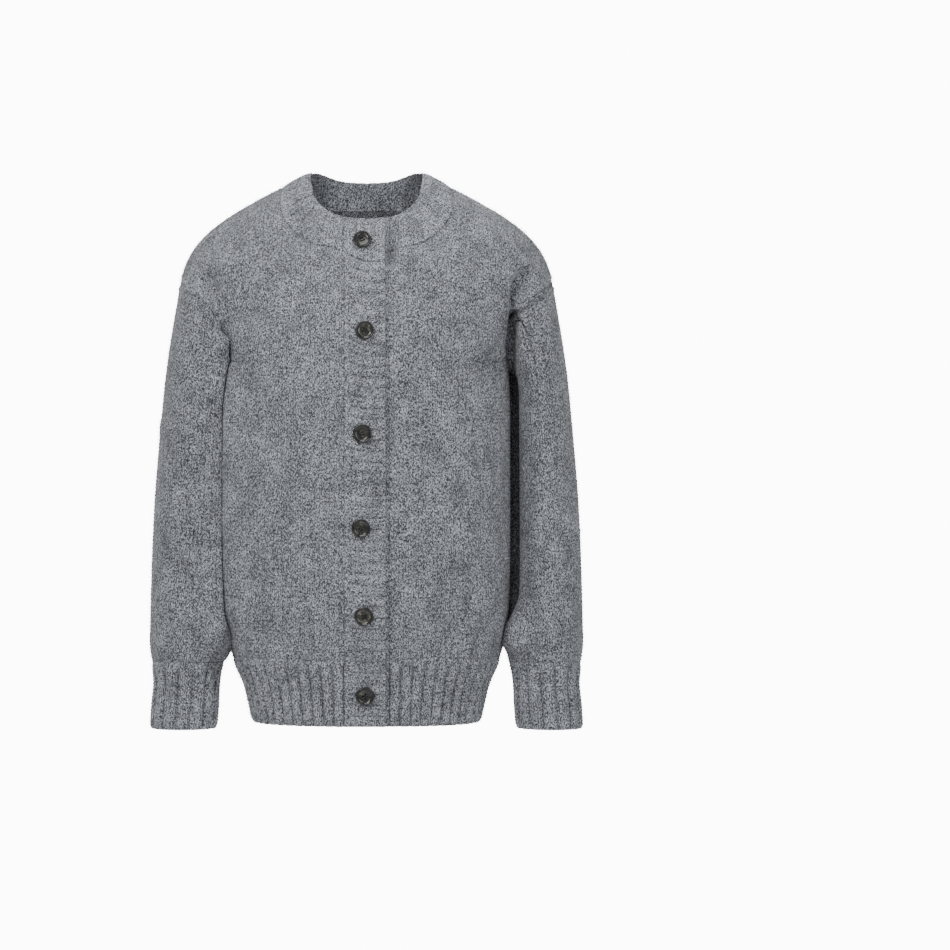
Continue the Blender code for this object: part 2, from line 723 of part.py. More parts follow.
def pull_loop(points, outs):
    """Draw a panel's border back into its own cloth by half a seam gap."""
    run = unit(np.roll(points, -1, axis=0) - points)
    area = np.cross(points, np.roll(points, -1, axis=0)).sum(axis=0)
    hand = 1.0 if area @ outs.mean(axis=0) > 0 else -1.0
    ahead = hand * unit(np.cross(outs, run))
    behind = hand * unit(np.cross(outs, np.roll(run, 1, axis=0)))
    both = ahead + behind
    stretch = np.clip(1 + (ahead * behind).sum(axis=1, keepdims=True), 0.3, None)
    return points + both / stretch * (SEAM_GAP / 2)


def share_edge(front, back):
    """Give the front and the back the same cut face along a seam that they share."""
    both = unit(front[1] + back[1])
    middle = (front[0] + back[0]) / 2
    for line in (front, back):
        line[0] = middle.copy()
        line[1] = both.copy()


def ring_degrees(rise):
    """Where a course meets the armhole ring, in degrees."""
    rows = [(row[0], row[4]) for row in (*FRONT_YOKE, SHOULDER, *BACK_YOKE)]
    return np.interp(rise, [row[0] for row in rows], [row[1] for row in rows])


def sew_armhole(front, back, side):
    """The armhole seam as a ring, with a cut face halfway between the yoke and the sleeve."""
    rise = np.concatenate((front[3][::-1], 2 * TOP_RISE - back[3][1:-1]))
    points = np.concatenate((front[0][::-1], back[0][1:-1]))
    outs = np.concatenate((front[1][::-1], back[1][1:-1]))
    degrees = ring_degrees(rise)
    flip = np.array((side, 1.0, 1.0))
    points = points * flip
    outs = unit(outs * flip + tube_directions(sleeve_surface(points, degrees)[:2])[0])
    count = len(front[0])
    front[1] = (outs[:count] * flip)[::-1]
    back[1] = np.concatenate((outs[count - 1:], outs[:1])) * flip
    return points, outs, degrees


# ================================================================ bands
def hem_line(rise, samples):
    """The hem's ring at one rise, from the right placket round the back to the left one."""
    lines = []
    for side, face in ((-1, "front"), (-1, "back"), (1, "back"), (1, "front")):
        at = rise if face == "front" else 2 * TOP_RISE - rise
        start = -PLACKET_IN if face == "front" else 0.0
        reach = np.linspace(start, course_length(np.array([at]))[0], samples)
        if (side < 0) != (face == "front"):
            reach = reach[::-1]
        lines.append(skin(reach, np.full(samples, at), side))
    return join_lines(lines)


def make_hem(seams):
    """Ribbed band from one placket round the back to the other."""
    stops, raised = ribbed(HEM_RIBS)
    sewn = [seams[-1, "front", "hem"][:2], turned(seams[-1, "back", "hem"]),
            seams[1, "back", "hem"][:2], turned(seams[1, "front", "hem"])]
    lines = [hem_line(rise, HEM_SAMPLES) for rise in HEM_RISES] + [join_lines(sewn)]
    rings = [along_line(points, outs, stops) for points, outs in lines]
    make_band("hem_band", rings, raised, ("top", "left", "right"))


def turned(line):
    return tuple(values[::-1] for values in line[:2])


def make_band(name, rings, raised, borders, inner_step=3):
    """A ribbed wall from its rings; the ribs stand on the outer face only."""
    points = np.array([ring[0] for ring in rings])
    outs = np.array([ring[1] for ring in rings])
    points = pull_in(points, outs, borders)
    relief = (raised * RIB_RELIEF - RIB_RELIEF * 0.5)[None, :, None]
    outer = points + outs * relief
    inner = (points - outs * CLOTH)[:, ::inner_step]
    wall(name, outer, inner, wool(name))


def make_placket(side, name, columns):
    """Ribbed band up the front edge, its ribs across it; gives its top edge."""
    stops, raised = ribbed(PLACKET_RIBS)
    rings = []
    for reach in columns:
        top = neck_curve(np.array([neck_turn(reach)]), "front", side)[1][0]
        rings.append(skin(np.full_like(stops, reach), stops * top, side))
    make_band(name, rings, raised, ("bottom", "right"))
    return np.array([ring[0][-1] for ring in rings]), np.array([ring[1][-1] for ring in rings])


def make_neckband(seams, right_top, left_top):
    """Ribbed band from the upper end at the front, round the neck, to the lower end."""
    stops, raised = ribbed(NECK_RIBS)
    lines = [turned(right_top), turned(seams[-1, "front", "neck"]), seams[-1, "back", "neck"][:2],
             turned(seams[1, "back", "neck"]), seams[1, "front", "neck"][:2], left_top]
    points, outs = join_lines(lines)
    low, low_out = along_line(points, outs, stops)
    rim = neck_rim(points, stops)
    run = np.gradient(low + rim, axis=0)
    band_out = unit(np.cross(rim - low, run))
    rings = [(low, low_out)]
    for share in NECKBAND_SHARES:
        out = unit(low_out * (1 - share) ** 2 + band_out * (1 - (1 - share) ** 2))
        bulge = NECKBAND_BULGE * math.sin(math.pi * share)
        rings.append((low + (rim - low) * share + band_out * bulge, out))
    make_band("neckband", rings, raised, ("bottom",), inner_step=1)


def neck_rim(seam, stops):
    """The rim's points that lie square across the band from each stop of the seam."""
    step = np.linalg.norm(np.diff(seam, axis=0), axis=1)
    gone = np.concatenate(([0.0], np.cumsum(step)))
    behind = int(np.argmax(seam[:, 1]))
    front_right = np.interp(0.0, -seam[:behind // 2, 0], gone[:behind // 2])
    front_left = np.interp(0.0, -seam[-(behind // 2):, 0], gone[-(behind // 2):])
    at = stops * gone[-1]
    ahead = at < gone[behind]
    share = np.where(ahead, (at - front_right) / (gone[behind] - front_right),
                     (front_left - at) / (front_left - gone[behind]))
    edge = between_rows([row[0] for row in RIM], [row[1:] for row in RIM], np.abs(share))
    reach = edge[:, 0] * np.where(share < 0, -1, 1)
    side = np.where(ahead, -1.0, 1.0)
    lift = ease((OVERLAP_RUN - PLACKET_IN - reach) / OVERLAP_RUN) * (edge[:, 1] < 0)
    edge[:, 0] = reach * side
    edge[:, 1] += side * OVERLAP_LIFT * lift
    return edge


# ================================================================ sleeves and cuffs
def sleeve_ring(height, degrees):
    rows = np.array([row[1:] for row in reversed(SLEEVE)], float)
    knots = np.array([row[0] for row in reversed(SLEEVE)], float)
    centre_x, centre_y, half_width, half_depth = between_rows(knots, rows, np.array([height]))[0]
    a = np.radians(degrees)
    return np.stack((centre_x + half_width * np.cos(a), centre_y - half_depth * np.sin(a),
                     np.full_like(a, height)), axis=-1)


def sleeve_surface(start, degrees):
    """Rings from the armhole seam to the cuff seam, wearer's left."""
    leave = sleeve_leave(degrees)
    end = sleeve_ring(CAP_END, degrees)
    hang = unit(end - sleeve_ring(CAP_END - 8, degrees))
    first = (CAP_PULL_LOW + CAP_PULL_TOP * np.cos(np.radians(degrees) / 2) ** 2)[:, None]
    second = (HANG_PULL * (start[:, 2] - end[:, 2]))[:, None]
    handles = np.stack((start, start + leave * first, end + hang * second, end), axis=1)
    rings = [bezier(handles, np.full(len(degrees), t)) for t in np.linspace(0, 1, CAP_ROWS + 1)]
    for height in np.linspace(CAP_END, CUFF_SEAM, SLEEVE_ROWS + 1)[1:]:
        rings.append(sleeve_ring(height, degrees))
    return np.array(rings)


def tube_directions(rings):
    """Outward unit vectors on closed rings that run down the arm."""
    around = np.roll(rings, -1, axis=1) - np.roll(rings, 1, axis=1)
    down = np.gradient(rings, axis=0)
    return unit(np.cross(around, down))


def make_sleeve(side, name, armhole):
    """A plain tube from the armhole to the cuff seam; gives the line the cuff is sewn to."""
    start, start_out, degrees = armhole
    rings = sleeve_surface(start, degrees)
    out = tube_directions(rings)
    out[0] = start_out
    around = np.radians(degrees) * ARM_RADIUS
    lines = [(math.radians(d0) * ARM_RADIUS, z0, math.radians(d1) * ARM_RADIUS, z1, w, depth)
             for which, d0, z0, d1, z1, w, depth in SLEEVE_FOLDS if which == name]
    depth = fold_depth(lines, np.broadcast_to(around, rings.shape[:2]), rings[..., 2])
    depth *= ease((rings[..., 2] - CUFF_SEAM) / CUFF_FREE)
    rings = rings + out * depth[..., None]
    pulled = pull_ring(pull_ring(rings, out, 0, 1), out, -1, -2)
    flip = np.array((side, 1.0, 1.0))
    wall("sleeve_" + name, pulled * flip, (pulled - out * CLOTH) * flip,
         wool("sleeve_" + name), round_tube=True)
    return rings[-1], out[-1]


def pull_ring(points, outs, edge, inside):
    """Draw a closed border back into its own cloth by half a seam gap."""
    points = points.copy()
    tangent = unit(np.roll(points[edge], -1, axis=0) - np.roll(points[edge], 1, axis=0))
    back = unit(np.cross(outs[edge], tangent))
    inward = (back * (points[inside] - points[edge])).sum(axis=1, keepdims=True)
    points[edge] += back * np.sign(inward) * (SEAM_GAP / 2)
    return points


def make_cuff(side, name, sewn):
    stops, raised = ribbed(CUFF_RIBS)
    degrees = stops * 360.0
    closed = tuple(np.concatenate((values, values[:1])) for values in sewn)
    rings = [along_line(closed[0], closed[1], stops)]
    low = [sleeve_ring(height, degrees) for height in CUFF_HEIGHTS]
    low_out = tube_directions(np.array([ring[:-1] for ring in [rings[0][0], *low]]))
    for ring, out in zip(low, low_out[1:]):
        rings.append((ring, np.concatenate((out, out[:1]))))
    points = np.array([ring[0][:-1] for ring in rings])
    outs = np.array([ring[1][:-1] for ring in rings])
    points = pull_ring(points, outs, 0, 1)
    relief = (raised[:-1] * RIB_RELIEF - RIB_RELIEF * 0.5)[None, :, None]
    flip = np.array((side, 1.0, 1.0))
    outer = (points + outs * relief) * flip
    inner = ((points - outs * CLOTH) * flip)[:, ::3]
    wall("cuff_" + name, outer, inner, wool("cuff_" + name), round_tube=True)


# ================================================================ buttons
def button_mesh():
    """A turned disc with a raised rim and four holes drilled through."""
    mesh = bmesh.new()
    rings = []
    for share, height in BUTTON_PROFILE[1:-1]:
        ring = []
        for k in range(BUTTON_SIDES):
            a = 2 * math.pi * k / BUTTON_SIDES
            radius = share * BUTTON_RADIUS * MM
            ring.append(mesh.verts.new((radius * math.cos(a), radius * math.sin(a), height * MM)))
        rings.append(ring)
    for low, high in zip(rings, rings[1:]):
        for k in range(BUTTON_SIDES):
            n = (k + 1) % BUTTON_SIDES
            mesh.faces.new((low[k], low[n], high[n], high[k]))
    mesh.faces.new(rings[0][::-1])
    mesh.faces.new(rings[-1])
    return mesh


def drill_mesh():
    mesh = bmesh.new()
    for k in range(4):
        a = math.pi / 2 * (k + 0.5)
        place = (HOLE_OFFSET * math.cos(a), HOLE_OFFSET * math.sin(a), DRILL_MIDDLE)
        made = bmesh.ops.create_cone(mesh, cap_ends=True, segments=HOLE_SIDES,
                                     radius1=HOLE_RADIUS * MM, radius2=HOLE_RADIUS * MM,
                                     depth=DRILL_DEPTH * MM)
        bmesh.ops.translate(mesh, verts=made["verts"], vec=Vector(place) * MM)
    return mesh


def make_buttons():
    horn = finish("dark_horn", HORN_BROWN, 0.35)
    drill = add_object("button_drill", drill_mesh(), horn)
    drill.hide_render = True
    drill.display_type = "WIRE"
    for number, (x, z, lean_side, lean_up) in enumerate(BUTTONS, 1):
        obj = add_object("button_%d" % number, button_mesh(), horn)
        obj.rotation_euler = (math.radians(90 - lean_up), 0, math.radians(lean_side))
        obj.location = (x * MM, resting_y(x, z, obj.rotation_euler) * MM, z * MM)
        cut = obj.modifiers.new("four_holes", "BOOLEAN")
        cut.object = drill
        cut.operation = "DIFFERENCE"
        bpy.context.view_layer.update()
        cut_in_place(obj, drill)


def cut_in_place(obj, drill):
    """Drill the holes while the drill stands at this button, and keep the result."""
    drill.matrix_world = obj.matrix_world
    bpy.context.view_layer.update()
    seen = obj.evaluated_get(bpy.context.evaluated_depsgraph_get())
    data = bpy.data.meshes.new_from_object(seen)
    obj.modifiers.clear()
    obj.data = data


def resting_y(x, z, lean):
    """How far forward a leaning button must stand to clear the cloth all round its back."""
    axis = Vector((0, 0, 1))
    axis.rotate(lean)
    needed = []
    for node in ("placket_right", "neckband"):
        for vertex in bpy.data.objects[node].data.vertices:
            place = vertex.co / MM
            near = abs(place.x - x) < BUTTON_ZONE and abs(place.z - z) < BUTTON_RADIUS + 3
            if near and place.y < FRONT_OF:
                aside = Vector((max(-BUTTON_RADIUS, min(BUTTON_RADIUS, place.x - x)), 0,
                                place.z - z))
                needed.append(place.y + (axis.dot(aside) + BUTTON_CLEARANCE) / axis.y)
    return min(needed)


def main():
    for obj in list(bpy.data.objects):
        bpy.data.objects.remove(obj, do_unlink=True)
    seams, armholes = make_panels()
    make_hem(seams)
    rolled = (-PLACKET_IN, -PLACKET_IN - ROLL, -PLACKET_OUT + ROLL, -PLACKET_OUT)
    right_top = make_placket(-1, "placket_right", rolled)
    left_top = make_placket(1, "placket_left", (-PLACKET_IN, -PLACKET_OUT))
    make_neckband(seams, right_top, left_top)
    for side, name in ((-1, "right"), (1, "left")):
        sewn = make_sleeve(side, name, armholes[side])
        make_cuff(side, name, sewn)
    make_buttons()


main()
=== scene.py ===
import math

import bmesh
import bpy
import numpy as np
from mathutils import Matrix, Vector
from mathutils.geometry import delaunay_2d_cdt


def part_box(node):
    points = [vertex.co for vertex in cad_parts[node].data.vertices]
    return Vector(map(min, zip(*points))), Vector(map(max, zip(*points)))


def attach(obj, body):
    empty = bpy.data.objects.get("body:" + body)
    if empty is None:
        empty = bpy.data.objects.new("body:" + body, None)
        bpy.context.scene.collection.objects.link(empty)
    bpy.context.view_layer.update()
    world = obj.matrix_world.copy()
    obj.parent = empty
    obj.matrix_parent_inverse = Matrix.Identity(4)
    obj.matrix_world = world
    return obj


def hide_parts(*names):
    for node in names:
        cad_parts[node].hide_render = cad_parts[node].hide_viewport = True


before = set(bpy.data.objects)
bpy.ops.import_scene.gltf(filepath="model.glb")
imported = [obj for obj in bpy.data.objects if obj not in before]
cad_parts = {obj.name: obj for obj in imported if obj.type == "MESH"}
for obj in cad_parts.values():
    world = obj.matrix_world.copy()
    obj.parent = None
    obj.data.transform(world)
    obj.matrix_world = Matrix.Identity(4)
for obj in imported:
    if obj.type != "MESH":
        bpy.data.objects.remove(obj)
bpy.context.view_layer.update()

# ================================================================ the fronts and the back
# Two fronts and a back in plain knitting, worn and filled out, in a thick brushed wool.  They
# are knitted flat from the hem up and linked along the sides and shoulders, so their stitches
# stand in upright wales.  One skin runs up the front, over the shoulders and down the back.
MM = 0.001
CLOTH = 3.0                 # thickness of the brushed knit, mm; all tables are in mm
PLACKET_IN = -25.0          # a placket is sewn to its front this far from the centre
PLACKET_OUT = 21.5          # and its free edge reaches this far past the centre
OVERLAP_LIFT = 2.7          # the upper placket lies this far out, the lower one this far in
OVERLAP_RUN = 38.0          # over this width
SHOULDER_Y = 8.0
SQUARE_TRUNK = 0.68         # where a course's handles stand, as a share of its width and depth

# rise: distance up the front from the hem's edge; the back runs down by the same steps
# columns: rise, height, half_width, front, back, side_lift
TRUNK = (
    (0, -611.5, 130.5, 99, 95, 0),
    (24, -588, 135.5, 101, 97, 0),
    (48, -564, 142, 105, 101, 0),
    (64, -548, 149.5, 109.5, 105, 0),
    (77, -535, 154, 114.5, 109, 0),
    (94, -518, 158.5, 120, 114.5, 0),
    (112, -500, 161.5, 124, 118, 0),
    (157, -455, 164.3, 128, 121, 0),
    (212, -400, 165, 129, 121, 0),
    (312, -300, 165, 127.5, 119, 2),
    (366, -248, 164.6, 126, 118, 7),
)

# the yoke's courses
# middle: where the course crosses the centre line; ring: where it meets the armhole, in
# degrees round it from the top of the arm; reach: how far it runs straight across the chest;
# out_*: the handle with which it arrives at the armhole seam
# columns: rise, middle_y, middle_z, reach, ring, out_x, out_y, out_z
FRONT_YOKE = (
    (405, -123.5, -212, 112, 180, 6, 68, 14),
    (436, -120, -180, 112, 160, 8, 56, 30),
    (463, -113.5, -147, 115, 140, 18, 46, 30),
    (490, -104, -117, 122, 114, 36, 24, 2),
    (517, -92, -90, 128, 86, 44, 14, -30),
    (547, -71, -52, 124, 48, 40, 16, -58),
    (576, -38, 6, 122, 20, 22, 6, -70),
)
SHOULDER = (600, SHOULDER_Y, 58, 121, 0, 12, 0, -73)
BACK_YOKE = (
    (624, 46, 20, 122, -20, 22, -6, -70),
    (653, 85, -20, 124, -48, 40, -16, -58),
    (683, 103, -62, 128, -86, 44, -14, -30),
    (710, 113.5, -102, 122, -114, 36, -24, 2),
    (737, 119, -140, 115, -140, 18, -46, 30),
    (764, 120, -177, 112, -160, 8, -56, 30),
    (795, 119, -212, 112, -180, 6, -68, 14),
)
SHOULDER_FALL = -76.0       # drop of the shoulder course over its first handle
CHEST_FALL = 0.16           # the same for the other courses, as a share of their whole drop
TOP_RISE = SHOULDER[0]
UNDERARM_RISE = FRONT_YOKE[0][0]
HEM_SEAM_RISE = 77

# the armhole seam, a tilted ring round the upper arm: degrees from the top of the arm, then
# its place on the front half and on the back half
# columns: degrees, x, front_y, front_z, back_y, back_z
ARMHOLE = (
    (0, 213.5, 8, -106, 8, -106),
    (22, 212, -17, -112, 31, -115),
    (45, 205.5, -39, -121, 49, -127),
    (68, 192, -53, -130, 59, -139),
    (90, 177, -58, -140, 61, -150),
    (112, 167.5, -53, -153, 55, -162),
    (135, 164, -39, -168, 41, -174),
    (158, 163, -20, -181, 21, -184),
    (180, 163, 0, -190, 0, -190),
)

# the neck seam, drawn on the skin from the centre line (turn 0) to the side neck point (turn 1):
# distance from the centre line along the course, and drop below the shoulder course
# columns: turn, reach, drop
NECK_FRONT = (
    (0.0, 0, 69),
    (0.16, 29, 66),
    (0.33, 60, 60),
    (0.49, 83, 48),
    (0.63, 97, 36),
    (0.72, 99.5, 28),
    (0.83, 103, 17),
    (1.0, 111, 0),
)
NECK_BACK = (
    (0.0, 0, 51),
    (0.18, 25, 48),
    (0.36, 51, 45),
    (0.5, 71, 40),
    (0.59, 83, 36),
    (0.69, 92, 29),
    (0.82, 101.8, 18.5),
    (1.0, 111, 0),
)
NECK_OVERLAP_DROP = 13.0    # the upper placket pulls its end of the seam down by this much
NECK_OVERLAP_REACH = 45.0   # and this far from the centre it no longer does

# A fold is a soft trough (depth below zero) or ridge along a line seen from the front or the
# back: x and z at its two ends, its half width, and its depth.
# columns: face, x_0, z_0, x_1, z_1, half_width, depth
BODY_FOLDS = (
    ("front", 184, -98, 166, -160, 10, -9),
    ("front", -184, -98, -166, -160, 10, -9),
    ("back", 184, -100, 166, -165, 10, -9),
    ("back", -184, -100, -166, -165, 10, -9),
    ("front", -134, -80, -132, -150, 13, -3),
    ("front", 140, -205, 92, -265, 22, -3.5),
    ("front", -142, -215, -100, -300, 24, -3.5),
    ("front", 52, -290, 92, -318, 14, -2.5),
    ("front", 118, -420, 70, -545, 20, -3.5),
    ("front", -128, -395, -96, -500, 22, -3),
    ("front", -62, -470, -50, -560, 18, 2.5),
    ("back", 96, -255, -96, -266, 20, -3.2),
    ("back", 128, -210, 70, -300, 24, -3.5),
    ("back", -126, -205, -76, -290, 24, -3.5),
    ("back", 40, -400, 58, -560, 20, 3),
    ("back", -46, -420, -64, -560, 20, 3),
    ("back", 118, -430, 98, -560, 20, -3),
    ("back", -112, -440, -100, -560, 20, -3),
)

CURVE_SAMPLES = 141


def between_rows(knots, rows, at, corners=()):
    """Read a table between its rows along smooth curves through them; at is an array.

    corners names the knots where the last six columns may turn sharply.
    """
    knots = np.asarray(knots, float)
    rows = np.asarray(rows, float)
    at = np.clip(np.asarray(at, float), knots[0], knots[-1])
    step = np.diff(knots)
    rate = np.diff(rows, axis=0) / step[:, None]
    slope = np.empty_like(rows)
    slope[0] = rate[0]
    slope[-1] = rate[-1]
    before = step[:-1, None]
    after = step[1:, None]
    slope[1:-1] = (rate[:-1] * after + rate[1:] * before) / (before + after)
    leaving = slope.copy()
    arriving = slope.copy()
    for knot in corners:
        k = int(np.searchsorted(knots, knot))
        leaving[k, 6:] = rate[k, 6:]
        arriving[k, 6:] = rate[k - 1, 6:]
    i = np.clip(np.searchsorted(knots, at, side="right") - 1, 0, len(step) - 1)
    t = ((at - knots[i]) / step[i])[:, None]
    h = step[i][:, None]
    return ((1 + 2 * t) * (1 - t) ** 2 * rows[i] + t * (1 - t) ** 2 * h * leaving[i]
            + t * t * (3 - 2 * t) * rows[i + 1] + t * t * (t - 1) * h * arriving[i + 1])


def bezier(handles, t):
    """Points on cubic curves; handles is (..., 4, 3) and t is one value for each."""
    t = np.asarray(t)[..., None]
    s = 1 - t
    return (s ** 3 * handles[..., 0, :] + 3 * s * s * t * handles[..., 1, :]
            + 3 * s * t * t * handles[..., 2, :] + t ** 3 * handles[..., 3, :])


def ease(value):
    """0 below 0, 1 above 1, and a soft S between."""
    value = np.clip(value, 0.0, 1.0)
    return value * value * (3 - 2 * value)


def between(value, start, end):
    """0 at start, 1 at end, and a soft S between."""
    return ease((value - start) / (end - start))


def unit(vectors):
    return vectors / np.linalg.norm(vectors, axis=-1, keepdims=True)


def gone_along(points):
    """Distance along a line at each of its points."""
    return np.concatenate(([0.0], np.cumsum(np.linalg.norm(np.diff(points, axis=0), axis=1))))


def fold_depth(folds, across, height):
    """Sum of the folds at each point of a face."""
    total = np.zeros_like(across)
    for x_0, z_0, x_1, z_1, half_width, depth in folds:
        run = np.array((x_1 - x_0, z_1 - z_0), float)
        length = np.hypot(*run)
        along = ((across - x_0) * run[0] + (height - z_0) * run[1]) / length
        aside = ((across - x_0) * run[1] - (height - z_0) * run[0]) / length
        ends = ease(along / (0.3 * length) + 0.5) * ease((length - along) / (0.3 * length) + 0.5)
        total += depth * np.exp(-(aside / half_width) ** 2) * ends
    return total


def armhole_point(degrees):
    """Points of the armhole seam; 0 is the top of the arm, 90 the front, 180 the underarm."""
    turn = (np.asarray(degrees, float).reshape(-1) + 180.0) % 360.0 - 180.0
    rows = np.array(ARMHOLE, float)
    around = np.concatenate((-rows[::-1, 0], rows[1:, 0]))
    front = rows[:, (1, 2, 3)]
    back = rows[:, (1, 4, 5)]
    return between_rows(around, np.concatenate((back[::-1], front[1:])), turn)


def on_face(up, face):
    """Turn a distance up a face into a rise, or a rise into that distance."""
    return up if face == "front" else 2 * TOP_RISE - up


def trunk_course(row, face):
    rise, height, half_width, front, back, side_lift = row
    depth = -front if face == "front" else back
    reach = SQUARE_TRUNK * half_width
    course = ((0, depth, height), (reach, depth, height),
              (half_width, SQUARE_TRUNK * depth, height + side_lift * 0.6),
              (half_width, 0, height + side_lift))
    return on_face(rise, face), course


def yoke_course(row):
    rise, middle_y, middle_z, reach, ring, out_x, out_y, out_z = row
    end = armhole_point(ring)[0]
    slope = (end[2] - middle_z) * CHEST_FALL
    if rise == TOP_RISE:
        slope = SHOULDER_FALL
    course = ((0, middle_y, middle_z), (reach, middle_y, middle_z + slope),
              tuple(end - np.array((out_x, out_y, out_z), float)), tuple(end))
    return rise, course


def all_courses():
    """Handles of every course, from the front hem over the shoulder to the back hem."""
    courses = [trunk_course(row, "front") for row in TRUNK]
    courses += [yoke_course(row) for row in (*FRONT_YOKE, SHOULDER, *BACK_YOKE)]
    courses += [trunk_course(row, "back") for row in reversed(TRUNK)]
    rises = np.array([rise for rise, _ in courses], float)
    handles = np.array([course for _, course in courses], float)
    return rises, handles.reshape(len(courses), 12)


RISES, COURSES = all_courses()
UNDERARMS = (UNDERARM_RISE, 2 * TOP_RISE - UNDERARM_RISE)
FOLD_GAIN = 1.35            # the soft cloth folds deeper than its stiff stand-in
FOLD_FREE = 24.0            # folds die out over this distance from a side or armhole seam
FACING_GAIN = 1.6           # and where the cloth turns to the side
FACING_START = 0.3
# sharper creases over the soft folds: the armpits', and where the cloth is drawn to a button
# columns: face, x_0, z_0, x_1, z_1, half_width, depth
BODY_CREASES = (
    ("front", 186, -95, 171, -114, 6, -8),
    ("front", 171, -112, 167, -190, 5.5, -15),
    ("front", -177, -130, -166, -190, 10, 4),
    ("back", 178, -108, 165, -176, 7, -8),
    ("back", -178, -108, -165, -176, 7, -8),
    ("front", 152, -128, 128, -176, 8, -2.4),
    ("front", -150, -132, -124, -186, 8, -2.4),
    ("front", -137, -96, -138, -132, 6, -2.2),
    ("front", 30, -50, 28, -92, 5, -9),
    ("front", -184, -58, -175, -84, 4, -1.8),
    ("front", -141, -90, -138, -110, 4, -1.8),
    ("front", 43, -297, 70, -303, 4.5, -1.6),
    ("front", 27, -66, 27, -150, 5, -1.8),
    ("front", 27, -170, 26, -330, 4.5, -1.2),
    ("front", 27, -380, 26, -520, 5, -1.8),
    ("front", 30, -296, 66, -268, 7, -2.0),
    ("front", 142, -430, 96, -516, 13, -3.0),
    ("front", -140, -440, -108, -520, 13, -3.0),
    ("front", 150, -506, 60, -524, 9, -2.0),
    ("front", -146, -508, -70, -522, 9, -2.0),
    ("back", 20, -262, -70, -258, 9, -2.2),
    ("back", 150, -130, 122, -190, 8, -2.4),
    ("back", -150, -130, -122, -190, 8, -2.4),
    ("back", 140, -505, 40, -522, 9, -2.0),
    ("back", -60, -512, -144, -506, 9, -2.0),
)
# the left sleeve presses into the side behind the side seam; on the right the body is full in
# front of the seam, so that it meets the sleeve flush
# columns: side, y, half_width, top, top_fade, depth, least_turn
SIDE_SHAPES = (
    (1, 28, 17, -184, 24, -5.5, 1.0),
    (-1, -56, 20, -182, 30, 8, 0.4),
)
SIDE_END = -522.0
SIDE_END_FADE = 40.0
SIDE_TURN = 2.5             # how fast they grow as the cloth turns to the side
# the overlapping front edge curls unevenly off the one below, most at the neck
CURL = 1.3
CURL_UNEVEN = 0.5
CURL_WAVES = (17.0, 7.3)
CURL_TOP = 4.5
CURL_TOP_HEIGHTS = (-96.0, -72.0)
CURL_RUN = 13.0
MAP_STEP = 2.5
MAP_SHARES = 121


def draw_skin():
    """The skin as a table: courses by shares of their length, with outward directions."""
    rises = np.arange(RISES[0], RISES[-1] + MAP_STEP / 2, MAP_STEP)
    handles = between_rows(RISES, COURSES, rises, UNDERARMS).reshape(-1, 4, 3)
    t = np.linspace(0, 1, CURVE_SAMPLES)
    curve = bezier(handles[:, None], np.broadcast_to(t, (len(rises), CURVE_SAMPLES)))
    length = np.zeros(curve.shape[:2])
    length[:, 1:] = np.cumsum(np.linalg.norm(np.diff(curve, axis=1), axis=2), axis=1)
    shares = np.linspace(0, 1, MAP_SHARES)
    points = np.empty((len(rises), MAP_SHARES, 3))
    for r in range(len(rises)):
        for k in range(3):
            points[r, :, k] = np.interp(shares * length[r, -1], length[r], curve[r, :, k])
    out = np.cross(np.gradient(points, axis=1), np.gradient(points, axis=0))
    out[:, 0, 0] = 0.0
    return rises, length[:, -1], points, unit(out)


MAP_RISES, MAP_LENGTHS, MAP_POINTS, MAP_OUTS = draw_skin()


def course_length(rise):
    """Length of each course from the centre line to its side or armhole seam."""
    return np.interp(rise, MAP_RISES, MAP_LENGTHS)


def read_map(values, reach, rise):
    """Read a table of the skin between its rows and columns."""
    row = np.clip((rise - MAP_RISES[0]) / MAP_STEP, 0, len(MAP_RISES) - 1.001)
    column = np.clip(np.abs(reach) / course_length(rise), 0, 1) * (MAP_SHARES - 1.001)
    r = row.astype(int)
    c = column.astype(int)
    row = (row - r)[:, None]
    column = (column - c)[:, None]
    low = values[r, c] * (1 - column) + values[r, c + 1] * column
    high = values[r + 1, c] * (1 - column) + values[r + 1, c + 1] * column
    return low * (1 - row) + high * row


def side_shape(point, out, hand):
    """How far the trunk's sides stand out or in where the sleeves hang against them."""
    total = np.zeros(len(point))
    for side, at, half_width, top, top_fade, depth, least_turn in SIDE_SHAPES:
        part = np.exp(-((point[:, 1] - at) / half_width) ** 2) * (hand == side)
        part *= ease((top - point[:, 2]) / top_fade)
        part *= ease((point[:, 2] - SIDE_END) / SIDE_END_FADE)
        total += depth * part * ease(np.abs(out[:, 0]) * SIDE_TURN - least_turn)
    return total


def overlap(reach, height, side):
    """How far back the front edges lie: the upper one outside the lower one, and curling."""
    back = side * OVERLAP_LIFT * ease((OVERLAP_RUN - PLACKET_IN - reach) / OVERLAP_RUN)
    if side < 0:
        long_wave, short_wave = CURL_WAVES
        uneven = np.sin(height / long_wave) + 0.6 * np.sin(height / short_wave + 1)
        curl = CURL + CURL_UNEVEN * uneven + CURL_TOP * between(height, *CURL_TOP_HEIGHTS)
        back -= curl * ease((CURL_RUN - PLACKET_OUT - reach) / CURL_RUN)
    return back


